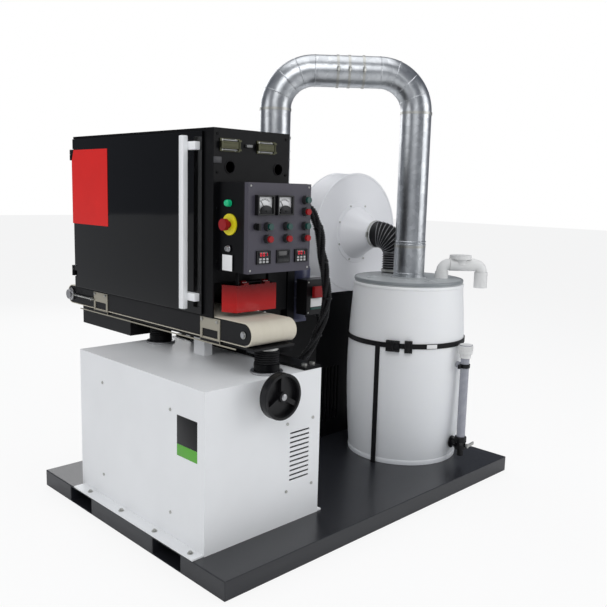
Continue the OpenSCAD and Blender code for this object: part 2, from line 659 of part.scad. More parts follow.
function unit(v) = v / norm(v);
function frame_side(t) = unit(cross(t, abs(t[1]) > 0.9 ? [1, 0, 0] : [0, 1, 0]));
function ring(p, t, r, n) = let (s = frame_side(t), u = cross(s, t))
    [for (i = [0 : n - 1]) p + r * (cos(i * 360 / n) * s + sin(i * 360 / n) * u)];
function tangent(p, i) = unit(p[min(i + 1, len(p) - 1)] - p[max(i - 1, 0)]);
function smooth(p, k) = [for (i = [0 : len(p) - 2], j = [0 : k - 1]) let (t = j / k,
    a = p[max(i - 1, 0)], b = p[i], c = p[i + 1], d = p[min(i + 2, len(p) - 1)])
    0.5 * (2 * b + (c - a) * t + (2 * a - 5 * b + 4 * c - d) * t * t + (3 * b - a - 3 * c + d) * t * t * t),
    p[len(p) - 1]];
module tube(path, r, n) {
    m = len(path);
    rings = [for (i = [0 : m - 1]) ring(path[i], tangent(path, i), r, n)];
    polyhedron(points = [for (q = rings) each q], faces = concat(
        [[for (i = [n - 1 : -1 : 0]) i]], [[for (i = [0 : n - 1]) (m - 1) * n + i]],
        [for (k = [0 : m - 2], i = [0 : n - 1]) [k * n + i, k * n + (i + 1) % n, (k + 1) * n + (i + 1) % n, (k + 1) * n + i]]));
}
module wire_loom() color("#101113") {
    tube([for (p = smooth(loom, 2)) loom_start + p], loom_r, 10);
    translate([box_x1, loom_start[1], loom_start[2]]) {
        rod_x(44, 14);
        translate([-box_wall - 8, 0, 0]) rod_x(18, 9 + box_wall);
    }
    translate([cab_x1, loom_start[1] + loom[11][1], loom_start[2] + loom[11][2]]) {
        rod_x(44, loom_start[0] + loom[11][0] - cab_x1);
        translate([-sheet - 8, 0, 0]) rod_x(18, 9 + sheet);
    }
}

function barrel_at(z) = barrel_r + (bulge_r - barrel_r) * sin(180 * z / barrel_h);
module collector_drum() color("#eceef0") translate([barrel_x, barrel_y, skid_h]) rotate_extrude($fn = 72) polygon(concat(
    [[0, 0]], [for (i = [0 : 12]) [barrel_at(i * barrel_h / 12), i * barrel_h / 12]],
    [for (i = [12 : -1 : 0]) [barrel_at(i * barrel_h / 12) - barrel_wall, max(barrel_wall, i * barrel_h / 12)]],
    [[0, barrel_wall]]));
module drum_lid() color("#b9bcbe") translate([barrel_x, barrel_y, barrel_z1]) difference() {
    union() {
        cylinder(r = lid_r, h = lid_h, $fn = 72);
        translate([0, 0, lid_h - eps]) cylinder(r = duct_r + 16, h = 6);
        translate([hose_foot_x - barrel_x, hose_foot_y - barrel_y, lid_h - eps]) cylinder(r = hose_r + 1, h = 6);
    }
    translate([0, 0, -eps]) cylinder(r = lid_r - 8, h = lid_h - 8, $fn = 72);
    translate([0, 0, -1]) cylinder(r = duct_r - duct_wall, h = lid_h + 9);
    translate([hose_foot_x - barrel_x, hose_foot_y - barrel_y, -1]) cylinder(r = hose_r - 8, h = lid_h + 9);
    translate([vent_x - barrel_x, vent_y - barrel_y, -1]) cylinder(d = vent_d - 8, h = lid_h + 2);
}
module drum_strap() color("#101113") translate([barrel_x, barrel_y, 0]) {
    r0 = barrel_at(strap_z - skid_h) + 1;
    translate([0, 0, strap_z]) pipe(r0 + strap_t, strap_t, strap_w);
    rotate(-169) translate([r0 + strap_t - eps, -strap_w / 2, skid_h]) cube([strap_t, strap_w, strap_z + strap_w - skid_h]);
    rotate(-154) translate([r0 + strap_t - eps, -32, strap_z - 14]) cube([16, 64, 52]);
    rotate(-140) translate([r0 + strap_t - eps, -18, strap_z - 16]) cube([20, 36, 56]);
}
module vent_elbow() difference() {
    rotate_extrude(angle = 90) translate([vent_elbow_r, 0]) circle(d = vent_d);
    rotate(-1) rotate_extrude(angle = 92) translate([vent_elbow_r, 0]) circle(d = vent_d - 10);
}
module vent_pipe() color("#f1f1f0") translate([vent_x, vent_y, barrel_top]) rotate(vent_a) {
    pipe(vent_d / 2 + 5, 9, vent_z - vent_elbow_r - gap);
    translate([vent_elbow_r, 0, vent_z - vent_elbow_r]) rotate([90, 0, 0]) rotate(90) vent_elbow();
    difference() {
        union() {
            translate([vent_elbow_r + gap, 0, vent_z]) rod_x(vent_d + 8, vent_run - 2 * vent_elbow_r - 2 * gap);
            translate([vent_run / 2 - 8, 0, vent_z]) cylinder(d = 70, h = 48);
            translate([vent_run / 2 - 8, 0, vent_z + 28]) cylinder(d = 108, h = 19);
        }
        translate([vent_elbow_r, 0, vent_z]) rod_x(vent_d - 10, vent_run);
    }
    translate([vent_run - vent_elbow_r, 0, vent_z - vent_elbow_r]) rotate([90, 0, 0]) vent_elbow();
    translate([vent_run, 0, -46]) pipe(vent_d / 2 + 5, 9, vent_z - vent_elbow_r + 46 - gap);
}
module sight_at() {
    translate([barrel_x, barrel_y, 0]) rotate(sight_a) translate([sight_r, 0, 0]) children();
}
module sight_tube() color("#9fb0bb") sight_at() {
    translate([0, 0, sight_z0 + 60]) pipe(sight_d / 2, 3, sight_z1 - sight_z0 - 60);
    translate([0, 0, sight_z1 - eps]) cylinder(d = 64, h = 44);
    translate([0, 0, sight_z0]) cylinder(d = 54, h = 61);
    for (z = [sight_z0 + 24, sight_z1 - 60]) {
        translate([barrel_at(z - skid_h) + 1.6 - sight_r, 0, z]) rod_x(30, sight_r - barrel_at(z - skid_h) - sight_d / 2 + 3);
        translate([-14, -44, z - 8]) cube([8, 88, 16]);
    }
    translate([0, 0, sight_z0 - 34]) cylinder(d = 30, h = 35);
    translate([20, 0, sight_z0 + 20]) rod_x(14, 14);
}
module drain_handle() color("#c0a060") sight_at() translate([34.3, 0, sight_z0 + 20]) {
    rod_x(22, 8);
    translate([2, -7, -7]) cube([6, 70, 14]);
}

module blower_stand() color("#131416") difference() {
    box([stand_x0, stand_y0, skid_h], [stand_x1, stand_y1, stand_top]);
    box([stand_x0 + 5, stand_y0 + 5, skid_h - 1], [stand_x1 - 5, stand_y1 - 5, stand_top - 5]);
    for (i = [0 : 4]) box([stand_x0 + 60 + i * 26, stand_y0 - 1, skid_h + 90], [stand_x0 + 68 + i * 26, stand_y0 + 6, skid_h + 380]);
}
module blower_scroll() color("#e8e9ec") difference() {
    union() {
        translate([fan_x, stand_y0, fan_z]) rod_y(2 * scroll_r, scroll_w);
        box([fan_x - 210, stand_y0, stand_top], [fan_x + 170, scroll_y1, fan_z]);
        translate([fan_x, stand_y0 - cone_l, fan_z]) rotate([-90, 0, 0]) cylinder(r1 = spigot_d / 2, r2 = cone_r, h = cone_l + eps);
        translate([fan_x, stand_y0 - cone_l - spigot_l, fan_z]) rod_y(spigot_d, spigot_l + 1);
    }
    translate([fan_x, stand_y0 + fan_wall, fan_z]) rod_y(2 * (scroll_r - fan_wall), scroll_w - 2 * fan_wall);
    box([fan_x - 206, stand_y0 + fan_wall, stand_top + fan_wall], [fan_x + 166, scroll_y1 - fan_wall, fan_z]);
    translate([fan_x, stand_y0 - cone_l - spigot_l - 1, fan_z]) rod_y(spigot_d - 8, cone_l + spigot_l + 10);
    translate([fan_x, scroll_y1 - fan_wall - 1, fan_z]) rod_y(60, fan_wall + 2);
}
module blower_motor() color("#4d5668") {
    translate([fan_x, scroll_y1, fan_z]) {
        difference() {
            rod_y(230, 12);
            translate([0, -1, 0]) rod_y(fan_shaft_d + 2 * run_fit, 14);
        }
        translate([0, 12 - eps, 0]) difference() {
            rod_y(190, 220);
            translate([0, -1, 0]) rod_y(fan_shaft_d + 2 * run_fit, 60);
        }
    }
    box([fan_x - 70, scroll_y1 + 60, stand_top], [fan_x + 70, scroll_y1 + 200, fan_z - 80]);
}
module blower_impeller() color("#9da0a3") translate([fan_x, stand_y0, fan_z]) {
    translate([0, scroll_w - 30, 0]) rod_y(480, 6);
    translate([0, 40, 0]) rod_y(70, scroll_w - 65);
    translate([0, 60, 0]) rod_y(fan_shaft_d, scroll_w + 10);
    for (i = [0 : 9]) rotate([0, i * 36, 0]) translate([60, 30, -3]) cube([170, scroll_w - 59, 6]);
}
module flex_hose() color("#232426") {
    y0 = stand_y0 - cone_l - spigot_l;
    tube(concat([[fan_x, y0, fan_z]],
        [for (a = [0 : 15 : 90]) [fan_x + (hose_foot_x - fan_x) * pow(a / 90, 2), hose_foot_y + hose_bend * (1 - sin(a)),
            fan_z - hose_bend * (1 - cos(a))]],
        [for (s = [1 : 3]) [hose_foot_x, hose_foot_y, fan_z - hose_bend - s * (fan_z - hose_bend - barrel_top - 6) / 3]]),
        hose_r, 12);
}

module bend() difference() {
    rotate_extrude(angle = 90) translate([elbow_r, 0]) circle(duct_r);
    rotate(-1) rotate_extrude(angle = 92) translate([elbow_r, 0]) circle(duct_r - duct_wall);
}
module dust_duct() color("#c3c7ca") {
    translate([head_x1, riser_y, port_out_z]) rotate([0, 90, 0]) difference() {
        union() {
            cylinder(r = duct_r, h = riser_x - elbow_r - head_x1 - gap);
            cylinder(r = duct_r + 20, h = 4);
        }
        translate([0, 0, -1]) cylinder(r = duct_r - duct_wall, h = riser_x - head_x1);
    }
    translate([riser_x - elbow_r, riser_y, port_out_z + elbow_r]) rotate([90, 0, 0]) rotate(-90) bend();
    translate([riser_x, riser_y, port_out_z + elbow_r + gap])
        pipe(duct_r, duct_wall, duct_top - port_out_z - 2 * elbow_r - 2 * gap);
    translate([riser_x, riser_y, duct_top - elbow_r]) rotate(run_a) translate([elbow_r, 0, 0])
        rotate([90, 0, 0]) rotate(90) bend();
    translate([riser_x, riser_y, duct_top]) rotate([0, 90, run_a]) translate([0, 0, elbow_r + gap])
        pipe(duct_r, duct_wall, run_l - 2 * elbow_r - 2 * gap);
    translate([barrel_x, barrel_y, duct_top - elbow_r]) rotate(run_a) translate([-elbow_r, 0, 0])
        rotate([90, 0, 0]) bend();
    translate([barrel_x, barrel_y, barrel_top + 6]) difference() {
        union() {
            cylinder(r = duct_r, h = duct_top - elbow_r - barrel_top - 6 - gap);
            cylinder(r = duct_r + 7, h = 4);
        }
        translate([0, 0, -1]) cylinder(r = duct_r - duct_wall, h = duct_top);
    }
}
module duct_clamp(w) { pipe(duct_r + clamp_t, clamp_t - 0.1, w); }
module duct_clamps() color("#aeb2b5") {
    for (z = [head_z1 + 20, duct_top - elbow_r - 8]) translate([riser_x, riser_y, z]) duct_clamp(clamp_w);
    for (z = [duct_top - elbow_r - 8, barrel_top + 150]) translate([barrel_x, barrel_y, z]) duct_clamp(clamp_w);
    for (s = [0.42, 0.5, 0.6]) translate([riser_x, riser_y, duct_top]) rotate([0, 90, run_a])
        translate([0, 0, run_l * s]) duct_clamp(clamp_w);
}

skid();
base_cabinet();
front_cover();
screws();
head_frame();
lift_jacks();
lift_rams();
table_post();
handwheel();
conveyor_bed();
feed_belt();
front_roller();
rear_roller();
take_up_plates();
feed_gearmotor();
switch_box();
stop_paddle();
head_housing();
side_door();
door_hinges();
latch_bases();
latch_lever(latch_x[0]);  // left_latch_lever
latch_lever(latch_x[1]);  // right_latch_lever
infeed_guard();
control_enclosure();
panel_lid();
panel_meters();
meter_needle(meter_x[0]);  // meter_needle_1
meter_needle(meter_x[1]);  // meter_needle_2
panel_displays();
button_collars();
push_button(BUTTONS[0], "#146b52");  // button_1
push_button(BUTTONS[1], "#b5262b");  // button_2
push_button(BUTTONS[2], "#146b52");  // button_3
push_button(BUTTONS[3], "#b5262b");  // button_4
push_button(BUTTONS[4], "#146b52");  // button_5
push_button(BUTTONS[5], "#b5262b");  // button_6
push_button(BUTTONS[6], "#146b52");  // button_7
push_button(BUTTONS[7], "#b5262b");  // button_8
selector_knob();
emergency_stop();
signal_lamp();
contact_drum();
tension_roller();
abrasive_belt();
sanding_frame();
wire_loom();
collector_drum();
drum_lid();
drum_strap();
vent_pipe();
sight_tube();
drain_handle();
blower_stand();
blower_scroll();
blower_motor();
blower_impeller();
flex_hose();
dust_duct();
duct_clamps();
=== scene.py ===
import math
import bmesh
import bpy
from mathutils import Matrix, Vector


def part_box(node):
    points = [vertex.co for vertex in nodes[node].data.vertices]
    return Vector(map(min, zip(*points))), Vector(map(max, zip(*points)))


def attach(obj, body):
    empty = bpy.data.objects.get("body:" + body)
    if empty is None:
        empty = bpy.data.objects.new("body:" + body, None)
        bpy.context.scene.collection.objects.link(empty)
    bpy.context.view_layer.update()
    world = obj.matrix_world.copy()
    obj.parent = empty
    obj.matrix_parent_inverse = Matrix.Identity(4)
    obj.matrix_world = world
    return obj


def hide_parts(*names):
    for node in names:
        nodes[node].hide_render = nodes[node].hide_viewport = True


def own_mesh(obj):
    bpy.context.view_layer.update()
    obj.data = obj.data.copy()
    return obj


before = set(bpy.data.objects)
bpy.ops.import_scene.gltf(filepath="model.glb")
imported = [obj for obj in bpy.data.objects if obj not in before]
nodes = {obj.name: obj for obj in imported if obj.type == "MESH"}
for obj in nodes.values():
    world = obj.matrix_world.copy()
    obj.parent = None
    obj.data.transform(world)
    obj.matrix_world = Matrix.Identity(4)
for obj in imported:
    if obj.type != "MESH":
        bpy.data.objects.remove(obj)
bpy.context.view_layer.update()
print("frame loaded", len(nodes))


class Val:
    # one socket of a finish, with arithmetic between sockets
    __slots__ = ("fin", "sock")

    def __init__(self, fin, sock):
        self.fin = fin
        self.sock = sock

    def out(self, name):
        return Val(self.fin, self.sock.node.outputs[name])

    def calc(self, kind, a, b=0.0):
        return self.fin.node("Math", {"operation": kind}, {0: a, 1: b})

    def __add__(self, o): return self.calc("ADD", self, o)
    def __radd__(self, o): return self.calc("ADD", o, self)
    def __sub__(self, o): return self.calc("SUBTRACT", self, o)
    def __rsub__(self, o): return self.calc("SUBTRACT", o, self)
    def __mul__(self, o): return self.calc("MULTIPLY", self, o)
    def __rmul__(self, o): return self.calc("MULTIPLY", o, self)
    def __truediv__(self, o): return self.calc("DIVIDE", self, o)
    def __pow__(self, o): return self.calc("POWER", self, o)
    def __lt__(self, o): return self.calc("LESS_THAN", self, o)
    def __gt__(self, o): return self.calc("GREATER_THAN", self, o)


class NodeSheet:
    def __init__(self, owner):
        owner.use_nodes = True
        self.tree = owner.node_tree
        self.tree.nodes.clear()

    def fill(self, socket, value):
        if isinstance(value, Val):
            self.tree.links.new(value.sock, socket)
        elif socket.type == "RGBA" and len(value) == 3:
            socket.default_value = (*value, 1)
        else:
            socket.default_value = value

    def node(self, kind, settings, inputs):
        made = self.tree.nodes.new("ShaderNode" + kind)
        for key, value in settings.items():
            if key == "stops":
                ramp = made.color_ramp
                while len(ramp.elements) < len(value):
                    ramp.elements.new(0.5)
                for stop, (place, colour) in zip(ramp.elements, value):
                    stop.position = place
                    stop.color = (*colour, 1) if len(colour) == 3 else colour
            else:
                setattr(made, key, value)
        for key, value in inputs.items():
            self.fill(made.inputs[key], value)
        outs = [o for o in made.outputs if o.enabled]
        return Val(self, outs[0]) if outs else made


class Finish(NodeSheet):
    def __init__(self, name, **fixed):
        self.mat = bpy.data.materials.new(name)
        super().__init__(self.mat)
        shader = self.node("BsdfPrincipled", {}, {})
        self.shader = shader.sock.node
        self.node("OutputMaterial", {}, {"Surface": shader})
        self.coords = self.node("TexCoord", {}, {}).out("Object")
        self.set(**fixed)

    def set(self, **sockets):
        for key, value in sockets.items():
            name = {"color": "Base Color", "rough": "Roughness", "metal": "Metallic", "coat": "Coat Weight",
                    "coatRough": "Coat Roughness", "normal": "Normal", "ior": "IOR", "alpha": "Alpha",
                    "specular": "Specular IOR Level", "glow": "Emission Color", "glowPower": "Emission Strength",
                    "through": "Transmission Weight", "subsurface": "Subsurface Weight", "sheen": "Sheen Weight"}[key]
            self.fill(self.shader.inputs[name], value)
        return self

    def noise(self, scale, detail=4.0, rough=0.55):
        return self.node("TexNoise", {},
                {"Vector": self.coords, "Scale": scale, "Detail": detail, "Roughness": rough})

    def mix(self, mask, a, b):
        blend = self.node("Mix", {"data_type": "RGBA"}, {0: mask, 6: a, 7: b}).sock.node
        return Val(self, blend.outputs[2])

    def bump(self, height, strength, distance=0.001):
        return self.node("Bump", {}, {"Strength": strength, "Distance": distance, "Height": height})

    def axis(self, name):
        return self.node("SeparateXYZ", {}, {0: self.coords}).out(name)


def shade(colour, factor):
    return tuple(min(1.0, c * factor) for c in colour)


def paint(name, colour, rough, texture=0.25, coat=0.0, scuff=0.1, specular=0.5):
    # sprayed or powder coated metal: slow tone drift, fine orange peel, faint scuffs
    fin = Finish(name, specular=specular, coatRough=0.15)
    drift = fin.noise(3.0, 3.0)
    fine = fin.noise(420.0, 2.0)
    scuffs = fin.node("ValToRGB", {"stops": [(0.55, (0, 0, 0)), (0.75, (1, 1, 1))]},
                      {0: fin.noise(26.0, 8.0, 0.75)})
    tone = fin.mix(drift, shade(colour, 0.93), shade(colour, 1.06))
    fin.set(color=fin.mix(scuffs * scuff, tone, shade(colour, 0.8)),
            rough=rough + fine * 0.06 + scuffs * 0.08, coat=coat,
            normal=fin.bump(fine + drift * 0.2, texture, 0.0004))
    return fin


def plastic(name, colour, rough, grain=0.2, **more):
    fin = Finish(name, **more)
    fine = fin.noise(900.0, 2.0)
    fin.set(color=fin.mix(fin.noise(9.0), shade(colour, 0.92), shade(colour, 1.08)),
            rough=rough + fine * 0.08, normal=fin.bump(fine, grain, 0.0003))
    return fin


def metal(name, colour, rough, brushed="X", depth=0.15):
    # turned or brushed metal: stretched noise along one axis
    fin = Finish(name, metal=1.0)
    stretch = {"X": (4, 260, 260), "Y": (260, 4, 260), "Z": (260, 260, 4)}[brushed]
    place = fin.node("Mapping", {}, {"Vector": fin.coords, "Scale": stretch})
    lines = fin.node("TexNoise", {}, {"Vector": place, "Scale": 1.0, "Detail": 3.0})
    stains = fin.noise(18.0, 6.0, 0.7)
    fin.set(color=fin.mix(stains, shade(colour, 0.82), shade(colour, 1.1)),
            rough=rough + lines * 0.14 + stains * 0.1, normal=fin.bump(lines, depth, 0.0003))
    return fin


def galvanised():
    fin = Finish("galvanisedSheet", metal=1.0)
    cells = fin.node("TexVoronoi", {"feature": "F1"}, {"Vector": fin.coords, "Scale": 46.0, "Randomness": 1.0})
    tint = fin.node("ValToRGB", {"stops": [(0.0, (0.50, 0.52, 0.54)), (0.5, (0.60, 0.62, 0.64)),
            (1.0, (0.72, 0.74, 0.76))]},
                    {0: cells.out("Color")})
    cloud = fin.noise(5.0, 5.0)
    fin.set(color=fin.mix(cloud * 0.35, tint, (0.42, 0.44, 0.46)),
            rough=0.24 + cloud * 0.14 + fin.noise(60.0) * 0.06, normal=fin.bump(cloud + fin.noise(90.0) * 0.3, 0.25,
                    0.001))
    return fin


whitePaint = paint("whitePowderCoat", (0.86, 0.87, 0.88), 0.32, 0.3, scuff=0.05)
blowerPaint = paint("blowerWhite", (0.86, 0.865, 0.89), 0.3, 0.2, scuff=0.06)
charcoal = paint("skidCharcoal", (0.016, 0.017, 0.021), 0.3, 0.35, coat=0.2, scuff=0.35)
blackPaint = paint("blackPowderCoat", (0.0035, 0.0036, 0.0044), 0.34, 0.35, scuff=0.3, specular=0.12)
bedPaint = paint("bedBlack", (0.008, 0.008, 0.009), 0.4, 0.35, scuff=0.35, specular=0.25)
panelGrey = paint("panelGrey", (0.060, 0.056, 0.074), 0.4, 0.3, scuff=0.15, specular=0.35)
motorBlue = paint("motorEnamel", (0.035, 0.04, 0.095), 0.3, 0.25, scuff=0.2)
zinc = metal("zincPlate", (0.55, 0.55, 0.52), 0.28)
olive = metal("oliveChromate", (0.095, 0.095, 0.062), 0.34)
steel = metal("turnedSteel", (0.52, 0.52, 0.53), 0.25)
tanPlate = paint("takeUpTan", (0.36, 0.335, 0.27), 0.45, 0.2, scuff=0.3)
galv = galvanised()
blackPlastic = plastic("blackPlastic", (0.006, 0.006, 0.007), 0.32, specular=0.3)
blackRubber = plastic("blackRubber", (0.005, 0.005, 0.006), 0.5, 0.4, specular=0.25)
redPlastic = plastic("redPlastic", (0.30, 0.006, 0.009), 0.42, 0.1, specular=0.3)
greenPlastic = plastic("greenPlastic", (0.003, 0.055, 0.045), 0.3, 0.1)
whitePlastic = plastic("whitePlastic", (0.78, 0.78, 0.77), 0.38, 0.15)
yellowPlastic = plastic("yellowPlastic", (0.80, 0.72, 0.02), 0.35, 0.1)
lidGrey = plastic("lidGrey", (0.42, 0.44, 0.45), 0.42, 0.3)
redPlate = plastic("redPlate", (0.78, 0.012, 0.008), 0.28, 0.05)
blankWhite = plastic("blankPlate", (0.8, 0.8, 0.8), 0.4, 0.05)
blankGreen = plastic("blankGreen", (0.11, 0.42, 0.04), 0.4, 0.05)


def glossDoor():
    fin = Finish("glossBlackDoor", specular=0.3, coatRough=0.03)
    wave = fin.noise(2.2, 2.0)
    dust = fin.node("ValToRGB", {"stops": [(0.62, (0, 0, 0)), (0.8, (1, 1, 1))]}, {0: fin.noise(60.0, 8.0, 0.8)})
    fin.set(color=fin.mix(dust * 0.2, (0.0012, 0.0012, 0.0014), (0.012, 0.012, 0.012)),
            rough=0.05 + dust * 0.1, coat=0.25, normal=fin.bump(wave, 0.2, 0.004))
    return fin


def signalGreen():
    fin = plastic("signalGreen", (0.01, 0.38, 0.17), 0.18, 0.05, glowPower=0.25)
    return fin.set(glow=fin.mix(fin.noise(20.0), (0.0, 0.3, 0.12), (0.0, 0.4, 0.17)))


def beltCloth():
    fin = Finish("feedBeltCloth", sheen=0.1)
    weave = fin.node("TexChecker", {}, {"Vector": fin.coords, "Scale": 700.0}).out("Fac")
    stain = fin.noise(9.0, 8.0, 0.7)
    streak = fin.node("TexNoise", {},
            {"Vector": fin.node("Mapping", {}, {"Vector": fin.coords, "Scale": (60, 1.5, 4)}),
                                       "Scale": 1.0, "Detail": 4.0})
    cream = fin.mix(stain, (0.60, 0.55, 0.43), (0.74, 0.70, 0.60))
    fin.set(color=fin.mix(streak * 0.4, cream, (0.56, 0.50, 0.40)), rough=0.62 + stain * 0.15,
            normal=fin.bump(weave * 0.6 + stain, 0.25, 0.0005))
    return fin


def drumPlastic():
    # blow moulded polyethylene with slow thickness clouds, greyer towards the bottom and whiter towards the top
    fin = Finish("drumPolyethylene", subsurface=0.12)
    fin.shader.inputs["Subsurface Radius"].default_value = (0.03, 0.03, 0.035)
    cloud = fin.noise(2.6, 4.0)
    scratch = fin.node("TexNoise", {},
            {"Vector": fin.node("Mapping", {}, {"Vector": fin.coords, "Scale": (30, 30, 2)}),
                                        "Scale": 1.0, "Detail": 6.0})
    height = fin.axis("Z")
    # blends from the greyer lower colours to the whiter upper colours with height
    heightBlend = fin.node("MapRange", {}, {0: height, 1: 0.05, 2: 0.75, 3: 0.0, 4: 1.0})
    lower = fin.mix(cloud, (0.70, 0.72, 0.75), (0.78, 0.80, 0.82))
    upper = fin.mix(cloud, (0.86, 0.87, 0.88), (0.92, 0.925, 0.93))
    fin.set(color=fin.mix(heightBlend, lower, upper), rough=0.36 + scratch * 0.12,
            normal=fin.bump(cloud + scratch * 0.3, 0.25, 0.003))
    return fin


def guardPlastic():
    fin = Finish("clearRedGuard", rough=0.08, specular=0.5)
    haze = fin.noise(14.0, 3.0)
    low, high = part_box("infeed_guard")
    rise = fin.node("MapRange", {}, {0: fin.axis("Z"), 1: low.z + 0.03, 2: high.z - 0.02, 3: 0.0, 4: 1.0})
    # the red darkens from the foot of the guard towards its top
    tint = fin.mix(rise, (0.50, 0.006, 0.005), (0.13, 0.003, 0.003))
    fin.set(color=fin.mix(haze * 0.3, tint, (0.40, 0.006, 0.005)), alpha=0.84 + haze * 0.1,
            normal=fin.bump(haze, 0.08, 0.001))
    return fin


def clearTube():
    # clear pipe above a black union
    fin = Finish("clearTube", rough=0.12)
    cloud = fin.noise(30.0)
    union = fin.axis("Z") < 0.2045
    pipe = fin.mix(cloud, (0.36, 0.37, 0.43), (0.52, 0.53, 0.58))
    return fin.set(color=fin.mix(union, pipe, (0.006, 0.006, 0.007)), alpha=0.66 + cloud * 0.1 + union * 0.4)


def abrasiveCloth():
    fin = Finish("abrasiveCloth")
    grit = fin.noise(2200.0, 2.0)
    return fin.set(color=fin.mix(grit, (0.16, 0.05, 0.025), (0.34, 0.13, 0.07)), rough=0.85,
            normal=fin.bump(grit, 0.6, 0.0006))


doorGloss = glossDoor()
lampGreen = signalGreen()
beltCream = beltCloth()
drumWhite = drumPlastic()
guardRed = guardPlastic()
tubeClear = clearTube()
abrasive = abrasiveCloth()


def collarFinish():
    # black button collars, with the emergency stop's ring in yellow on the enclosure's left side
    fin = Finish("buttonCollars")
    side = fin.axis("X") < (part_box("control_enclosure")[0].x + 0.008)
    fine = fin.noise(700.0)
    return fin.set(color=fin.mix(side, (0.02, 0.02, 0.022), (0.78, 0.68, 0.015)), rough=0.3 + fine * 0.1,
                   normal=fin.bump(fine, 0.1, 0.0003))


finishOf = {
    whitePaint: ["base_cabinet", "front_cover", "table_post"], blowerPaint: ["blower_scroll"],
    charcoal: ["skid"], blackPaint: ["head_frame", "lift_jacks", "head_housing", "control_enclosure", "blower_stand",
                                     "door_hinges"],
    bedPaint: ["conveyor_bed"], doorGloss: ["side_door"], panelGrey: ["panel_lid"],
    zinc: ["screws", "lift_rams", "duct_clamps", "drain_handle"], olive: ["latch_bases", "left_latch_lever",
                                                                        "right_latch_lever"],
    galv: ["dust_duct"], steel: ["front_roller", "rear_roller", "tension_roller", "blower_impeller"],
    tanPlate: ["take_up_plates", "sanding_frame"], beltCream: ["feed_belt"], abrasive: ["abrasive_belt"],
    motorBlue: ["feed_gearmotor", "blower_motor"],
    blackPlastic: ["handwheel", "switch_box", "panel_meters", "meter_needle_1", "meter_needle_2", "panel_displays",
                   "selector_knob"],
    collarFinish(): ["button_collars"],
    blackRubber: ["contact_drum", "wire_loom", "drum_strap", "flex_hose"],
    redPlastic: ["stop_paddle", "button_2", "button_4", "button_6", "button_8", "emergency_stop"],
    greenPlastic: ["button_1", "button_3", "button_5", "button_7"], lampGreen: ["signal_lamp"],
    guardRed: ["infeed_guard"], drumWhite: ["collector_drum"], lidGrey: ["drum_lid"], whitePlastic: ["vent_pipe"],
    tubeClear: ["sight_tube"],
}
for fin, names in finishOf.items():
    for name in names:
        obj = nodes[name]
        obj.data.materials.clear()
        obj.data.materials.append(fin.mat)
print("finishes set")


def piece(name, bm, fin, body, slotName, angle=35, bevel=0.0, segments=2):
    bmesh.ops.remove_doubles(bm, verts=bm.verts, dist=1e-6)
    if bevel:
        bmesh.ops.bevel(bm, geom=[e for e in bm.edges if e.calc_face_angle(0) > 0.5], offset=bevel, affect="EDGES",
                        segments=segments, profile=0.5, material=-1, clamp_overlap=True)
    bmesh.ops.recalc_face_normals(bm, faces=bm.faces)
    mesh = bpy.data.meshes.new(name)
    bm.to_mesh(mesh)
    bm.free()
    mesh.materials.append(fin.mat)
    for poly in mesh.polygons:
        poly.use_smooth = True
    mesh.set_sharp_from_angle(angle=math.radians(angle))
    obj = bpy.data.objects.new(name, mesh)
    bpy.context.scene.collection.objects.link(obj)
    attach(obj, body)
    return obj


def block(bm, low, high):
    low, high = Vector(low), Vector(high)
    size = high - low
    place = Matrix.Translation((low + high) / 2) @ Matrix.Diagonal((*size, 1))
    return bmesh.ops.create_cube(bm, size=1.0, matrix=place)["verts"]


def turned(bm, start, along, profile, steps=40):
    # spins a list of (distance along, radius) points about an axis from start
    along = Vector(along).normalized()
    side = along.orthogonal().normalized()
    start = Vector(start)
    verts = [bm.verts.new(start + along * d + side * r) for d, r in profile]
    edges = [bm.edges.new(pair) for pair in zip(verts, verts[1:])]
    bmesh.ops.spin(bm, geom=verts + edges, cent=start, axis=along, angle=math.tau, steps=steps, use_merge=True)


def turnedPiece(name, fin, body, slotName, start, along, profile, steps=40, **more):
    bm = bmesh.new()
    turned(bm, start, along, profile, steps)
    return piece(name, bm, fin, body, slotName, **more)


def blockPiece(name, fin, body, slotName, low, high, bevel=0.0):
    bm = bmesh.new()
    block(bm, low, high)
    return piece(name, bm, fin, body, slotName, bevel=bevel)


def turnedBlock(bm, low, high, angle, axis, centre):
    # a block made at the origin, turned about one axis and then moved out to its centre
    verts = block(bm, low, high)
    bmesh.ops.rotate(bm, verts=verts, cent=(0, 0, 0), matrix=Matrix.Rotation(angle, 3, axis))
    bmesh.ops.translate(bm, verts=verts, vec=centre)


def middle(name):
    low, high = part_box(name)
    return (low + high) / 2


def floorPoint(name):
    centre = middle(name)
    return Vector((centre.x, centre.y, 0))


def ringProfile(inner, outer, length, soft):
    return [(soft, inner), (0, inner + soft), (0, outer - soft), (soft, outer), (length - soft, outer),
            (length, outer - soft), (length, inner + soft), (length - soft, inner), (soft, inner)]


def capProfile(radius, length, soft):
    return [(0, 0), (0, radius), (length - soft, radius), (length - soft * 0.3, radius - soft * 0.3),
            (length, radius - soft), (length, 0)]


def smoothPath(points, count):
    pts = [Vector(p) for p in points]
    out = []
    for i in range(len(pts) - 1):
        a, b, c, d = pts[max(i - 1, 0)], pts[i], pts[i + 1], pts[min(i + 2, len(pts) - 1)]
        for j in range(count):
            t = j / count
            out.append(0.5 * (2 * b + (c - a) * t + (2 * a - 5 * b + 4 * c - d) * t * t
                              + (3 * b - a - 3 * c + d) * t ** 3))
    return out + [pts[-1]]


# CAD sheet-metal nodes get a small broken edge
edges = {"skid": 0.003, "side_door": 0.0015, "blower_stand": 0.003, "take_up_plates": 0.0008, "switch_box": 0.004}
for name, width in edges.items():
    weld = nodes[name].modifiers.new("weld", "WELD")
    weld.merge_threshold = 0.00002
    soft = nodes[name].modifiers.new("brokenEdge", "BEVEL")
    soft.width = width
    soft.segments = 2
    soft.limit_method = "ANGLE"
    soft.angle_limit = math.radians(50)

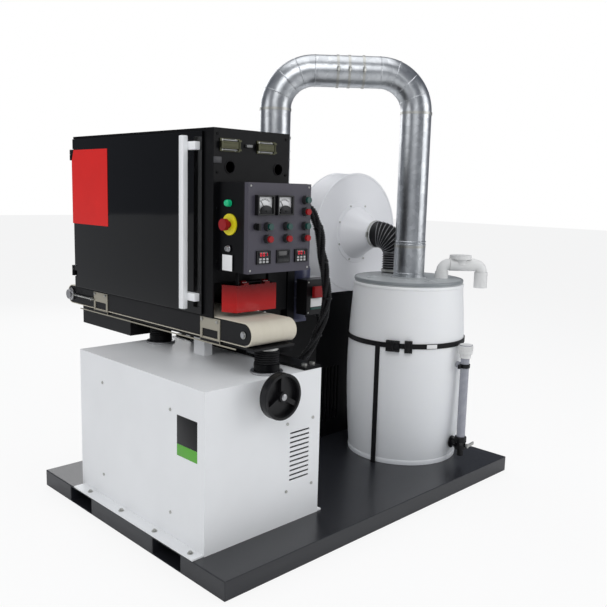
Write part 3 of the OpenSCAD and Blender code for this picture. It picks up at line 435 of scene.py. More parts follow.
door = {"plateBack": 0.010, "plateLength": 0.328, "plateTop": 0.062, "plateHeight": 0.345, "corner": 0.05,
        "thick": 0.0015}


def doorPlate():
    low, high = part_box("side_door")
    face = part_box("head_housing")[0].x - 0.0095
    back = high.y - 0.008 - door["plateBack"]
    front, top = back - door["plateLength"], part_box("head_housing")[1].z - door["plateTop"]
    base = top - door["plateHeight"]
    c = door["corner"]
    bm = bmesh.new()
    outline = [(back, base), (front, base), (front, top), (back - c * 0.4, top), (back, top - c)]
    face0 = bm.faces.new([bm.verts.new((face, y, z)) for y, z in outline])
    grown = bmesh.ops.extrude_face_region(bm, geom=[face0])
    bmesh.ops.translate(bm, verts=[g for g in grown["geom"] if isinstance(g, bmesh.types.BMVert)],
            vec=(-door["thick"], 0, 0))
    piece("door_blank_plate", bm, redPlate, "side_door", "red_plastic")


doorPlate()


# the door's bar handle, in white over the black CAD bar
def doorHandle():
    low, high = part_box("side_door")
    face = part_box("head_housing")[0].x - 0.0095
    skin = 0.0006
    bm = bmesh.new()
    y = handleY
    block(bm, (low.x - skin, y - 0.014 - skin, doorLow + 0.018 - skin),
            (low.x + 0.022 + skin, y + 0.014 + skin, doorHigh - 0.018 + skin))
    piece("door_handle_bar", bm, whitePaint, "side_door", "white_paint", bevel=0.003)
    bm = bmesh.new()
    for z in (doorLow + 0.067, doorHigh - 0.055):
        block(bm, (low.x + 0.021, y - 0.060 - skin, z - 0.015 - skin), (face - skin, y + 0.013, z + 0.015 + skin))
    piece("door_handle_arms", bm, whitePaint, "side_door", "white_paint", bevel=0.002)


headLow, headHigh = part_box("head_housing")
handleY = headLow.y + 0.06 + 0.071
doorLow, doorHigh = headLow.z + 0.008, headHigh.z - 0.012
doorHandle()
print("door done")

panel = {"meterHalfW": 0.041, "meterHalfH": 0.037, "tick": 0.0008, "coverW": 0.027, "displayHalf": 0.034,
        "middleShift": 0.101}


def arcBlock(bm, centre, radius, angle, length, width, y0, y1):
    # small bar standing on an arc in the XZ plane
    c, s = math.cos(angle), math.sin(angle)
    verts = []
    for y in (y0, y1):
        for dr, dw in ((0, -width), (length, -width), (length, width), (0, width)):
            verts.append(bm.verts.new((centre[0] + (radius + dr) * s + dw * c, y,
                    centre[1] + (radius + dr) * c - dw * s)))
    for quad in ((0, 1, 2, 3), (7, 6, 5, 4), (0, 4, 5, 1), (1, 5, 6, 2), (2, 6, 7, 3), (3, 7, 4, 0)):
        bm.faces.new([verts[i] for i in quad])


def meterFaces():
    low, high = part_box("panel_meters")
    midZ = (low.z + high.z) / 2
    for number, x in enumerate((low.x + panel["meterHalfW"], high.x - panel["meterHalfW"]), 1):
        floor = high.y - 0.005
        blockPiece(f"meter_face_{number}", blankWhite, "root", "drum_white",
                (x - 0.0348, floor - 0.0037, midZ - 0.0308), (x + 0.0348, floor, midZ + 0.0308), bevel=0.0002)
        bm = bmesh.new()
        pivot = (x, midZ - 0.014)
        for i in range(21):
            angle = math.radians(-38 + 76 * i / 20)
            long = i % 5 == 0
            arcBlock(bm, pivot, 0.033 if long else 0.0345, angle, 0.0055 if long else 0.0035,
                    panel["tick"] * (0.8 if long else 0.45),
                     floor - 0.0040, floor - 0.0036)
        for i in range(38):
            arcBlock(bm, pivot, 0.0325, math.radians(-38 + 2 * i + 1), 0.0008, 0.0006, floor - 0.0040, floor - 0.0036)
        piece(f"meter_scale_{number}", bm, blackPlastic, "root", "black_plastic")
        bm = bmesh.new()
        cover = [(-panel["coverW"], -0.0305), (panel["coverW"], -0.0305)]
        cover += [(panel["coverW"] * math.cos(math.radians(a)),
                -0.016 + 0.016 * math.sin(math.radians(a))) for a in range(0, 181, 15)]
        face = bm.faces.new([bm.verts.new((x + cx, high.y - 0.0195, midZ + cz)) for cx, cz in cover])
        grown = bmesh.ops.extrude_face_region(bm, geom=[face])
        bmesh.ops.translate(bm, verts=[g for g in grown["geom"] if isinstance(g, bmesh.types.BMVert)],
                vec=(0, 0.0055, 0))
        piece(f"meter_cover_{number}", bm, blackPlastic, "root", "black_plastic", bevel=0.001)
        turnedPiece(f"meter_screw_{number}", blackRubber, "root", "black_rubber",
                (x, high.y - 0.0197, midZ - 0.022), (0, -1, 0), capProfile(0.0035, 0.0014, 0.0006), 20)


def segmentDigit(bm, x, z, size, lit, y0, y1):
    w, h, t = size, size * 1.8, size * 0.2
    places = {"a": (0, h / 2, 1), "g": (0, 0, 1), "d": (0, -h / 2, 1), "b": (w / 2, h / 4, 0),
            "c": (w / 2, -h / 4, 0),
              "e": (-w / 2, -h / 4, 0), "f": (-w / 2, h / 4, 0)}
    for key in lit:
        dx, dz, flat = places[key]
        a, b = (w / 2 - t * 0.6, t / 2) if flat else (t / 2, h / 4 - t * 0.4)
        block(bm, (x + dx - a, y0, z + dz - b), (x + dx + a, y1, z + dz + b))


def displays():
    low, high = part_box("panel_displays")
    midZ, front = (low.z + high.z) / 2, low.y
    centres = (low.x + panel["displayHalf"], high.x - panel["displayHalf"])
    red = bmesh.new()
    window = bmesh.new()
    keys = bmesh.new()
    frames = bmesh.new()
    for x in centres:
        block(window, (x - 0.026, front - 0.0012, midZ + 0.001), (x + 0.026, front + 0.0005, midZ + 0.021))
        for i, lit in enumerate(("abcdef", "abcdef", "bc")):
            segmentDigit(red, x - 0.014 + i * 0.014, midZ + 0.011, 0.0065, lit, front - 0.0018, front - 0.001)
        for i in range(3):
            for j in range(2):
                kx, kz = x - 0.017 + i * 0.017, midZ - 0.0065 - j * 0.0105
                block(keys, (kx - 0.0052, front - 0.0022, kz - 0.0038), (kx + 0.0052, front + 0.0005, kz + 0.0038))
        for z0, z1 in ((-0.0245, -0.0225), (0.0225, 0.0245)):
            block(frames, (x - 0.0335, front - 0.0016, midZ + z0), (x + 0.0335, front + 0.0005, midZ + z1))
        for x0, x1 in ((-0.0335, -0.0315), (0.0315, 0.0335)):
            block(frames, (x + x0, front - 0.0016, midZ - 0.0245), (x + x1, front + 0.0005, midZ + 0.0245))
    mx = low.x + panel["displayHalf"] + panel["middleShift"]
    block(window, (mx - 0.029, front - 0.0012, midZ - 0.020), (mx + 0.029, front + 0.0005, midZ + 0.020))
    piece("display_windows", window, darkGlass, "root", "black_plastic", bevel=0.0004)
    piece("display_digits", red, digitRed, "root", "red_plastic")
    piece("display_keys", keys, keyGrey, "root", "drum_white", bevel=0.0006)
    piece("display_frames", frames, blackPlastic, "root", "black_plastic", bevel=0.0004)


def lidFixings():
    low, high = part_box("panel_lid")
    bm = bmesh.new()
    for x in (low.x + 0.012, high.x - 0.012):
        for z in (low.z + 0.012, high.z - 0.012):
            turned(bm, (x, low.y + 0.0005, z), (0, -1, 0),
                    [(0, 0), (0, 0.0042), (0.0012, 0.0040), (0.0022, 0.0025), (0.0024, 0)], 20)
    piece("lid_screws", bm, zinc, "root", "zinc")
    # rubber seal between the lid and the box
    bm = bmesh.new()
    y = high.y
    for a, b in (((low.x - 0.001, low.z - 0.001), (high.x + 0.001, low.z + 0.0015)),
            ((low.x - 0.001, high.z - 0.0015), (high.x + 0.001, high.z + 0.001)),
                 ((low.x - 0.001, low.z), (low.x + 0.0015, high.z)), ((high.x - 0.0015, low.z),
                         (high.x + 0.001, high.z))):
        block(bm, (a[0], y - 0.003, a[1]), (b[0], y + 0.001, b[1]))
    piece("lid_seal", bm, blackRubber, "root", "black_rubber")


def keySwitchAndPlate():
    low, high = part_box("control_enclosure")
    left = low.x
    y, z = -0.290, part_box("panel_lid")[0].z + 0.088
    turnedPiece("key_switch", steel, "root", "zinc", (left + 0.0005, y, z), (-1, 0, 0),
            [(0, 0), (0, 0.0125), (0.004, 0.0125), (0.006, 0.0105), (0.0115, 0.0098), (0.013, 0.0085), (0.013, 0)],
            28)
    blockPiece("key_slot", blackPlastic, "root", "black_plastic", (left - 0.0136, y - 0.0012, z - 0.006),
            (left - 0.0128, y + 0.0012, z + 0.006))
    bm = bmesh.new()
    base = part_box("panel_lid")[0].z
    block(bm, (left - 0.0012, -0.312, base + 0.004), (left + 0.0002, -0.254, base + 0.064))
    piece("enclosure_blank_plate", bm, blankWhite, "root", "drum_white", bevel=0.0004)


def switchDetails():
    low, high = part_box("switch_box")
    pLow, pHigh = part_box("stop_paddle")
    x = (pLow.x + pHigh.x) / 2
    blockPiece("switch_blank_plate", blankWhite, "feed_table", "drum_white",
            (x - 0.033, low.y - 0.003, pLow.z - 0.042), (x + 0.033, low.y + 0.0005, pLow.z - 0.006), bevel=0.0008)
    blockPiece("switch_green_plate", greenPlastic, "feed_table", "green_plastic",
            (x - 0.033, low.y - 0.003, pLow.z - 0.054), (x + 0.033, low.y + 0.0005, pLow.z - 0.045), bevel=0.0008)
    bm = bmesh.new()
    for dx in (0.010, high.x - low.x - 0.010):
        for dz in (0.010, high.z - low.z - 0.010):
            turned(bm, (low.x + dx, low.y + 0.0005, low.z + dz), (0, -1, 0),
                    [(0, 0), (0, 0.004), (0.0015, 0.0038), (0.0025, 0.002), (0.0026, 0)], 16)
    piece("switch_screws", bm, zinc, "feed_table", "zinc")
    turnedPiece("switch_gland", blackPlastic, "feed_table", "black_plastic",
            ((low.x + high.x) / 2 + 0.03, (low.y + high.y) / 2, low.z + 0.001), (0, 0, -1),
            [(0, 0), (0, 0.014), (0.006, 0.014), (0.007, 0.011), (0.018, 0.011), (0.020, 0.008), (0.020, 0)], 24)


darkGlass = plastic("darkGlass", (0.004, 0.004, 0.005), 0.1, 0.03)
keyGrey = plastic("keyGrey", (0.42, 0.42, 0.42), 0.4, 0.05)
digitRed = plastic("digitRed", (0.8, 0.01, 0.03), 0.4, 0.02, glowPower=0.7)
digitRed.set(glow=digitRed.mix(digitRed.noise(30.0), (0.85, 0.0, 0.03), (1.0, 0.02, 0.06)))
meterFaces()
displays()
lidFixings()
keySwitchAndPlate()
switchDetails()
print("panel done")


latch = {"plateWidth": 0.096, "coils": 11, "coilGap": 0.0052, "springZ": 0.0178}


def latchDetails():
    low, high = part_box("latch_bases")
    springs = bmesh.new()
    hooks = bmesh.new()
    width = latch["plateWidth"]
    for left in (low.x, high.x - width):
        z = (low.z + high.z) / 2
        front = high.y
        # keeper hook and bolts on the free end of each plate
        for s in (-1, 1):
            turned(hooks, (left + 0.010, front - 0.0045, z + s * 0.018), (0, -1, 0),
                    [(0, 0), (0, 0.0042), (0.002, 0.0038), (0.003, 0)], 16)
            turned(hooks, (left + width - 0.024, front - 0.0045, z + s * 0.0205), (0, -1, 0),
                    [(0, 0), (0, 0.003), (0.002, 0.0028), (0.0025, 0)], 16)
        for s in (-1, 1):
            for i in range(latch["coils"]):
                x = left + 0.020 + i * latch["coilGap"]
                turned(springs, (x, front - 0.0085, z + s * latch["springZ"]), (1, 0, 0),
                        [(0, 0.0018), (0, 0.0034), (0.0024, 0.0034), (0.0024, 0.0018), (0, 0.0018)], 14)
            turned(springs, (left + 0.012, front - 0.0085, z + s * latch["springZ"]), (1, 0, 0),
                    [(0, 0), (0, 0.0018), (0.068, 0.0018), (0.068, 0)], 12)
    piece("latch_springs", springs, steel, "root", "zinc")
    piece("latch_rivets", hooks, zinc, "root", "zinc")
    bm = bmesh.new()
    mid = (low.x + high.x) / 2
    z = (low.z + high.z) / 2
    block(bm, (mid - 0.015, high.y - 0.012, z - 0.004), (mid + 0.015, high.y - 0.001, z + 0.007))
    piece("latch_keeper", bm, zincDull, "root", "zinc", bevel=0.0015)


def leverRibs():
    for side in ("left", "right"):
        name = f"{side}_latch_lever"
        low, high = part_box(name)
        bm = bmesh.new()
        for s in (-1, 1):
            z = (low.z + high.z) / 2 + s * 0.007
            block(bm, (low.x + 0.014, low.y + 0.0028, z - 0.0018), (high.x - 0.018, low.y + 0.0045, z + 0.0018))
        piece(f"{side}_lever_ribs", bm, olive, name, "zinc", bevel=0.0006)


head = {"catchZ": (1.466, 1.490), "portX": (-0.544, -0.296), "portZ": 1.4526}


def headDetails():
    low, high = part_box("head_housing")
    blockPiece("head_catch", catchGrey, "root", "charcoal_paint", (low.x - 0.001, low.y - 0.006, head["catchZ"][0]),
            (low.x + 0.034, low.y + 0.0005, head["catchZ"][1]), bevel=0.0015)
    # cap screws of the front plate
    bm = bmesh.new()
    for x in (low.x + 0.018, high.x - 0.018):
        for z in (high.z - 0.022, high.z - 0.165, high.z - 0.30, low.z + 0.22):
            turned(bm, (x, low.y + 0.0005, z), (0, -1, 0),
                    [(0, 0), (0, 0.0052), (0.003, 0.0052), (0.0038, 0.0044), (0.0038, 0.0026), (0.0022, 0.0024),
                    (0.0022, 0)], 20)
    piece("head_cap_screws", bm, blackPaint, "root", "black_paint")
    bm = bmesh.new()
    for x in head["portX"]:
        turned(bm, (x, low.y + 0.0005, head["portZ"]), (0, -1, 0), ringProfile(0.0215, 0.0255, 0.0035, 0.0008), 40)
    piece("port_grommets", bm, blackRubber, "root", "black_rubber")


zincDull = metal("zincDull", (0.30, 0.30, 0.30), 0.45)
catchGrey = paint("catchGrey", (0.045, 0.045, 0.05), 0.4, 0.2, scuff=0.3)
latchDetails()
leverRibs()
headDetails()


cabinet = {"plateY": (-0.434, -0.311), "darkZ": (0.452, 0.560), "greenZ": (0.408, 0.4515),
        "boltY": (-0.43, -0.20, 0.04, 0.29)}


def cabinetDetails():
    low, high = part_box("front_cover")
    left = low.x
    back, front = cabinet["plateY"]
    for part, fin, slotName in (("dark", blackPlastic, "black_plastic"), ("green", blankGreen, "green_plastic")):
        base, top = cabinet[part + "Z"]
        blockPiece(f"cabinet_plate_{part}", fin, "root", slotName, (left - 0.0008, back, base),
                (left + 0.0003, front, top), bevel=0.0003)
    bm = bmesh.new()
    for y in cabinet["boltY"]:
        turned(bm, (left - 0.026, y, 0.0788), (0, 0, 1), [(0, 0), (0, 0.011), (0.002, 0.011), (0.002, 0)], 28)
        turned(bm, (left - 0.026, y, 0.0806), (0, 0, 1),
                [(0, 0), (0, 0.0075), (0.006, 0.0075), (0.0068, 0.006), (0.0068, 0)], 6)
    piece("flange_bolts", bm, zinc, "root", "zinc", angle=25)


cabinetDetails()


wheel = {"rimInner": 0.0755, "rimOuter": 0.0868, "roll": 0.004}


def wheelDetails():
    low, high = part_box("handwheel")
    x, z = (low.x + high.x) / 2, (low.z + high.z) / 2
    turnedPiece("wheel_hub_cap", steel, "handwheel", "zinc", (x, low.y + 0.0005, z), (0, -1, 0),
            [(0, 0), (0, 0.0125), (0.002, 0.0125), (0.0035, 0.0105), (0.0045, 0)], 32)
    bm = bmesh.new()
    rim = low.y + 0.0025
    turned(bm, (x, rim + 0.0015, z), (0, 1, 0),
            ringProfile(wheel["rimInner"], wheel["rimOuter"], 0.010, wheel["roll"]), 72)
    turned(bm, (x, rim + 0.0260, z), (0, 1, 0),
            ringProfile(wheel["rimInner"], wheel["rimOuter"], 0.009, wheel["roll"]), 72)
    piece("wheel_rim_rolls", bm, blackPlastic, "handwheel", "black_plastic")


wheelDetails()


def tableDetails():
    low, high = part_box("take_up_plates")
    axle = middle("rear_roller")
    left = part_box("conveyor_bed")[0].x
    bolts = bmesh.new()
    for y in (low.y + 0.014, low.y + 0.110, high.y - 0.110, high.y - 0.014):
        turned(bolts, (low.x + 0.0004, y, high.z - 0.010), (-1, 0, 0),
                [(0, 0), (0, 0.008), (0.0012, 0.008), (0.0012, 0.0062), (0.0058, 0.0062), (0.0062, 0)], 6)
    piece("take_up_bolts", bolts, zinc, "feed_table", "zinc", angle=25)
    # tension screw and bearing block by the rear axle
    bm = bmesh.new()
    turned(bm, (left - 0.006, high.y - 0.01, axle.z), (0, 1, 0),
            [(0, 0), (0, 0.004), (axle.y - high.y - 0.012, 0.004), (axle.y - high.y - 0.012, 0)], 14)
    for i in range(24):
        turned(bm, (left - 0.006, high.y + 0.004 + i * 0.006, axle.z), (0, 1, 0),
                [(0, 0.004), (0.0015, 0.0048), (0.003, 0.004)], 14)
    piece("tension_screw", bm, zinc, "feed_table", "zinc")
    bm = bmesh.new()
    for y in (high.y + 0.006, axle.y - 0.040):
        turned(bm, (left - 0.006, y, axle.z), (0, 1, 0),
                [(0, 0.0041), (0, 0.0092), (0.008, 0.0092), (0.008, 0.0041)], 6)
    piece("tension_nuts", bm, zinc, "feed_table", "zinc", angle=25)
    turnedPiece("bearing_cap_rear", steel, "feed_table", "roller_steel", (left + 0.001, axle.y, axle.z), (-1, 0, 0),
            ringProfile(0.0105, 0.030, 0.012, 0.003), 40)
    bm = bmesh.new()
    front = middle("front_roller")
    turned(bm, (left + 0.0005, front.y, front.z), (-1, 0, 0), ringProfile(0.0105, 0.0145, 0.0025, 0.0008), 32)
    piece("axle_washer_front", bm, zinc, "feed_table", "zinc")
    # folded lip along the bottom of the bed's side plates
    blockPiece("bed_lip", tanPlate, "feed_table", "bracket_tan", (left - 0.0035, low.y - 0.10, low.z - 0.001),
            (left + 0.0005, high.y + 0.13, low.z + 0.004), bevel=0.0008)


fold = {"count": 6, "bore": 0.0265, "end": 0.034, "keep": 0.05}


def bellows():
    # folded covers around the two lifting columns
    low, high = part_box("lift_jacks")
    tableX = (low.x + high.x) / 2
    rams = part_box("lift_rams")
    top, bottom = rams[1].z - 0.0086, high.z + 0.0004
    for number, y in enumerate((low.y + 0.062, high.y - 0.062), 1):
        profile = [(0, fold["end"])]
        d = (top - bottom) / fold["count"]
        for i in range(fold["count"]):
            profile += [(i * d + d * 0.08, 0.047), (i * d + d * 0.42, 0.0485), (i * d + d * 0.55, 0.0485),
                    (i * d + d * 0.95, 0.043)]
        profile += [(top - bottom, fold["end"]), (top - bottom, fold["bore"]), (0, fold["bore"]), (0, fold["end"])]
        bm = bmesh.new()
        turned(bm, (tableX, y, bottom), (0, 0, 1), profile, 48)
        obj = piece(f"lift_bellows_{number}", bm, blackRubber, "root", "black_rubber", angle=60)
        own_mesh(obj)
        turnedPiece(f"jack_ring_{number}", steel, "root", "roller_steel", (tableX, y, low.z + 0.0005), (0, 0, 1),
                ringProfile(0.0505, 0.0640, 0.0095, 0.002), 56)


tableDetails()
bellows()
print("table done")


def gearmotorDetails():
    low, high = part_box("feed_gearmotor")
    x, y, top = high.x - 0.059, high.y - 0.059, high.z
    bm = bmesh.new()
    turned(bm, (x, y, top - 0.052), (0, 0, 1),
            [(0, 0.0595), (0, 0.0635), (0.040, 0.0635), (0.050, 0.060), (0.0545, 0.052), (0.0545, 0)], 56)
    for z in (top - 0.060, top - 0.130):
        turned(bm, (x, y, z), (0, 0, -1), ringProfile(0.058, 0.0645, 0.008, 0.002), 56)
    piece("gearmotor_cowl", bm, motorBlue, "feed_table", "motor_blue")
    bm = bmesh.new()
    for i in range(24):
        a = math.tau * i / 24
        turnedBlock(bm, (0.0575, -0.0012, top - 0.128), (0.0640, 0.0012, top - 0.070), a, "Z", (x, y, 0))
    piece("gearmotor_fins", bm, motorBlue, "feed_table", "motor_blue", bevel=0.0005)


def blowerMotorDetails():
    low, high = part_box("blower_motor")
    x, z = (low.x + high.x) / 2, middle("blower_impeller").z
    bm = bmesh.new()
    for i in range(30):
        a = math.tau * i / 30
        if math.cos(a) < -0.80:
            continue
        turnedBlock(bm, (-0.0013, high.y - 0.200, 0.0935), (0.0013, high.y - 0.065, 0.101), a, "Y", (x, 0, z))
    piece("blower_motor_fins", bm, motorBlue, "root", "motor_blue", bevel=0.0005)
    turnedPiece("blower_motor_cowl", blackPaint, "root", "black_paint", (x, high.y - 0.060, z), (0, 1, 0),
            [(0, 0.0945), (0, 0.0985), (0.048, 0.0985), (0.060, 0.090), (0.0645, 0.070), (0.0645, 0)], 64)
    bm = bmesh.new()
    for ring in (0.022, 0.036, 0.050, 0.064):
        turned(bm, (x, high.y + 0.0038, z), (0, 1, 0), ringProfile(ring, ring + 0.004, 0.002, 0.0006), 48)
    piece("cowl_grille", bm, zinc, "root", "zinc")
    blockPiece("terminal_box_base", motorBlue, "root", "motor_blue", (x - 0.045, high.y - 0.19, z + 0.094),
            (x + 0.045, high.y - 0.09, z + 0.104), bevel=0.002)


def blowerDetails():
    low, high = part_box("blower_scroll")
    fan = middle("blower_impeller")
    x, z = fan.x, fan.z
    radius = high.z - z
    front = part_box("blower_stand")[0].y
    back = high.y
    bm = bmesh.new()
    for y in (front - 0.002, back - 0.004):
        turned(bm, (x, y, z), (0, 1, 0), ringProfile(radius - 0.008, radius + 0.0045, 0.006, 0.002), 96)
    turned(bm, (x, front - 0.0035, z), (0, 1, 0), ringProfile(0.137, 0.160, 0.004, 0.0015), 72)
    piece("scroll_hems", bm, blowerPaint, "root", "white_paint")
    bm = bmesh.new()
    for i in range(8):
        a = math.tau * (i + 0.5) / 8
        turned(bm, (x + 0.150 * math.cos(a), front - 0.003, z + 0.150 * math.sin(a)), (0, -1, 0),
               [(0, 0), (0, 0.0055), (0.0035, 0.0055), (0.004, 0.004), (0.004, 0)], 6)
    piece("scroll_bolts", bm, zinc, "root", "zinc", angle=25)


gearmotorDetails()
blowerMotorDetails()
blowerDetails()
print("blower done")


hose = {"radius": 0.066, "pitch": 0.0125, "wire": 0.0021, "depth": 0.0045}


def hosePath():
    low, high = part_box("flex_hose")
    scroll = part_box("blower_scroll")
    fan = middle("blower_impeller")
    footX, footY = high.x - 0.068, low.y + 0.068
    bend = scroll[0].y - footY - 0.006
    points = [Vector((fan.x, scroll[0].y, fan.z))]
    for i in range(25):
        a = math.radians(90 * i / 24)
        t = i / 24
        points.append(Vector((footX + (fan.x - footX) * (1 - t), footY + bend * (1 - math.sin(a)),
                fan.z - bend * (1 - math.cos(a)))))
    for i in range(1, 25):
        points.append(Vector((footX, footY, fan.z - bend - (fan.z - bend - low.z - 0.001) * i / 24)))
    return points


def resample(points, step):
    out, carry = [points[0]], 0.0
    for a, b in zip(points, points[1:]):
        length = (b - a).length
        place = step - carry
        while place <= length and length > 0:
            out.append(a.lerp(b, place / length))
            place += step
        carry = length - (place - step)
    if (out[-1] - points[-1]).length > step * 0.3:
        out.append(points[-1])
    return out


def frames(points):
    tangents = [(points[min(i + 1, len(points) - 1)] - points[max(i - 1,
            0)]).normalized() for i in range(len(points))]
    side = tangents[0].orthogonal().normalized()
    out = []
    for t in tangents:
        side = (side - t * side.dot(t)).normalized()
        out.append((side, t.cross(side)))
    return out


def sweep(bm, points, radii, sides):
    rings = []
    for p, r, (u, v) in zip(points, radii, frames(points)):
        turn = [math.tau * k / sides for k in range(sides)]
        rings.append([bm.verts.new(p + (u * math.cos(a) + v * math.sin(a)) * r) for a in turn])
    for a, b in zip(rings, rings[1:]):
        for k in range(sides):
            j = (k + 1) % sides
            bm.faces.new((a[k], a[j], b[j], b[k]))
    bm.faces.new(rings[0][::-1])
    bm.faces.new(rings[-1])


def flexHose():
    path = resample(hosePath(), hose["pitch"] / 6)
    radii = [hose["radius"] - hose["depth"] * (0.5 - 0.5 * math.cos(math.tau * i / 6)) for i in range(len(path))]
    bm = bmesh.new()
    sweep(bm, path, radii, 40)
    obj = piece("ribbed_hose", bm, hoseBlack, "root", "black_rubber", angle=70)
    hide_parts("flex_hose")
    ups = frames(path)
    wire = []
    steps = 28
    total = int(len(path) / 6 * steps)
    for n in range(total):
        s = n / steps * 6
        i = min(int(s), len(path) - 2)
        f = s - i
        centre = path[i].lerp(path[i + 1], f)
        u = ups[i][0].lerp(ups[i + 1][0], f)
        v = ups[i][1].lerp(ups[i + 1][1], f)
        a = math.tau * n / steps
        wire.append(centre + (u * math.cos(a) + v * math.sin(a)) * (hose["radius"] + 0.0004))
    bm = bmesh.new()
    sweep(bm, wire, [hose["wire"]] * len(wire), 6)
    piece("hose_wire", bm, wireGrey, "root", "black_rubber", angle=70)
    bm = bmesh.new()
    start = path[0]
    turned(bm, (start.x, start.y + 0.002, start.z), (0, 1, 0), ringProfile(0.0682, 0.0702, 0.014, 0.0006), 64)
    end = path[-1]
    turned(bm, (end.x, end.y, end.z + 0.006), (0, 0, 1), ringProfile(0.0685, 0.0705, 0.012, 0.0006), 64)
    piece("hose_bands", bm, zinc, "root", "zinc")
    bm = bmesh.new()
    block(bm, (start.x - 0.078, start.y + 0.003, start.z - 0.014),
            (start.x - 0.0695, start.y + 0.015, start.z + 0.014))
    block(bm, (end.x - 0.012, end.y - 0.079, end.z + 0.006), (end.x + 0.012, end.y - 0.070, end.z + 0.018))
    piece("band_screws", bm, zinc, "root", "zinc", bevel=0.002)


loom = {"strands": 4, "step": 0.0022, "twist": 0.42, "spread": 0.0105, "radius": 0.0092, "rib": 0.0013,
        "ties": (0.18, 0.36, 0.55, 0.74, 0.9),
        "turns": [(-0.004, 0, 0), (0.030, 0, 0), (0.068, -0.010, -0.022), (0.096, -0.025, -0.090),
                (0.110, -0.035, -0.190), (0.124, -0.042, -0.265), (0.136, -0.045, -0.350), (0.132, -0.042, -0.430),
                (0.110, -0.025, -0.520), (0.084, 0, -0.600), (0.050, 0.030, -0.662), (0.004, 0.030, -0.680)]}


def loomBundle():
    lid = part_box("panel_lid")
    start = Vector((lid[1].x + 0.014, lid[1].y + 0.060, lid[1].z - 0.090))
    path = resample(smoothPath([start + Vector(t) for t in loom["turns"]], 14), loom["step"])
    ups = frames(path)
    for strand in range(loom["strands"]):
        line = []
        for i, p in enumerate(path):
            a = math.tau * (strand / loom["strands"] + i * loom["step"] / loom["twist"])
            a += 0.5 * math.sin(i * 0.021 + strand * 1.7)
            # the strands lie close together at both glands
            closeUp = min(1, 0.25 + i / 18, 0.25 + (len(path) - 1 - i) / 18)
            spread = loom["spread"] * (1 + 0.15 * math.sin(i * 0.013 + strand * 2.1)) * closeUp
            line.append(p + (ups[i][0] * math.cos(a) + ups[i][1] * math.sin(a)) * spread)
        radii = [loom["radius"] + loom["rib"] * (1 if (i // 2) % 2 else -1) for i in range(len(line))]
        bm = bmesh.new()
        sweep(bm, line, radii, 14)
        obj = piece(f"conduit_{strand + 1}", bm, hoseBlack, "root", "black_rubber", angle=35)
        if strand == 0:
            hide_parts("wire_loom")
    bm = bmesh.new()
    for index in loom["ties"]:
        i = int(index * len(path))
        tangent = (path[i + 1] - path[i - 1]).normalized()
        turned(bm, path[i], tangent, ringProfile(0.0195, 0.0212, 0.006, 0.0005), 28)
    piece("conduit_ties", bm, blackPlastic, "root", "black_plastic")
    bm = bmesh.new()
    turned(bm, (lid[1].x - 0.001, start.y, start.z), (1, 0, 0),
            [(0, 0), (0, 0.027), (0.004, 0.027), (0.005, 0.023), (0.014, 0.023), (0.018, 0.019), (0.018, 0)], 6)
    low = path[-1]
    turned(bm, (low.x - 0.024, low.y, low.z), (1, 0, 0),
            [(0, 0), (0, 0.026), (0.006, 0.026), (0.007, 0.022), (0.020, 0.022), (0.026, 0.018), (0.026, 0)], 6)
    piece("conduit_glands", bm, blackPlastic, "root", "black_plastic", angle=25)


hoseBlack = plastic("hoseBlack", (0.007, 0.007, 0.008), 0.42, 0.2, specular=0.35)
wireGrey = metal("wireGrey", (0.34, 0.34, 0.35), 0.35)
flexHose()
loomBundle()
print("hoses done")


duct = {"radius": 0.074, "elbow": 0.185, "sleeveTop": 1.125, "riser": (0.110, 0.250, 0), "portZ": 1.1966}


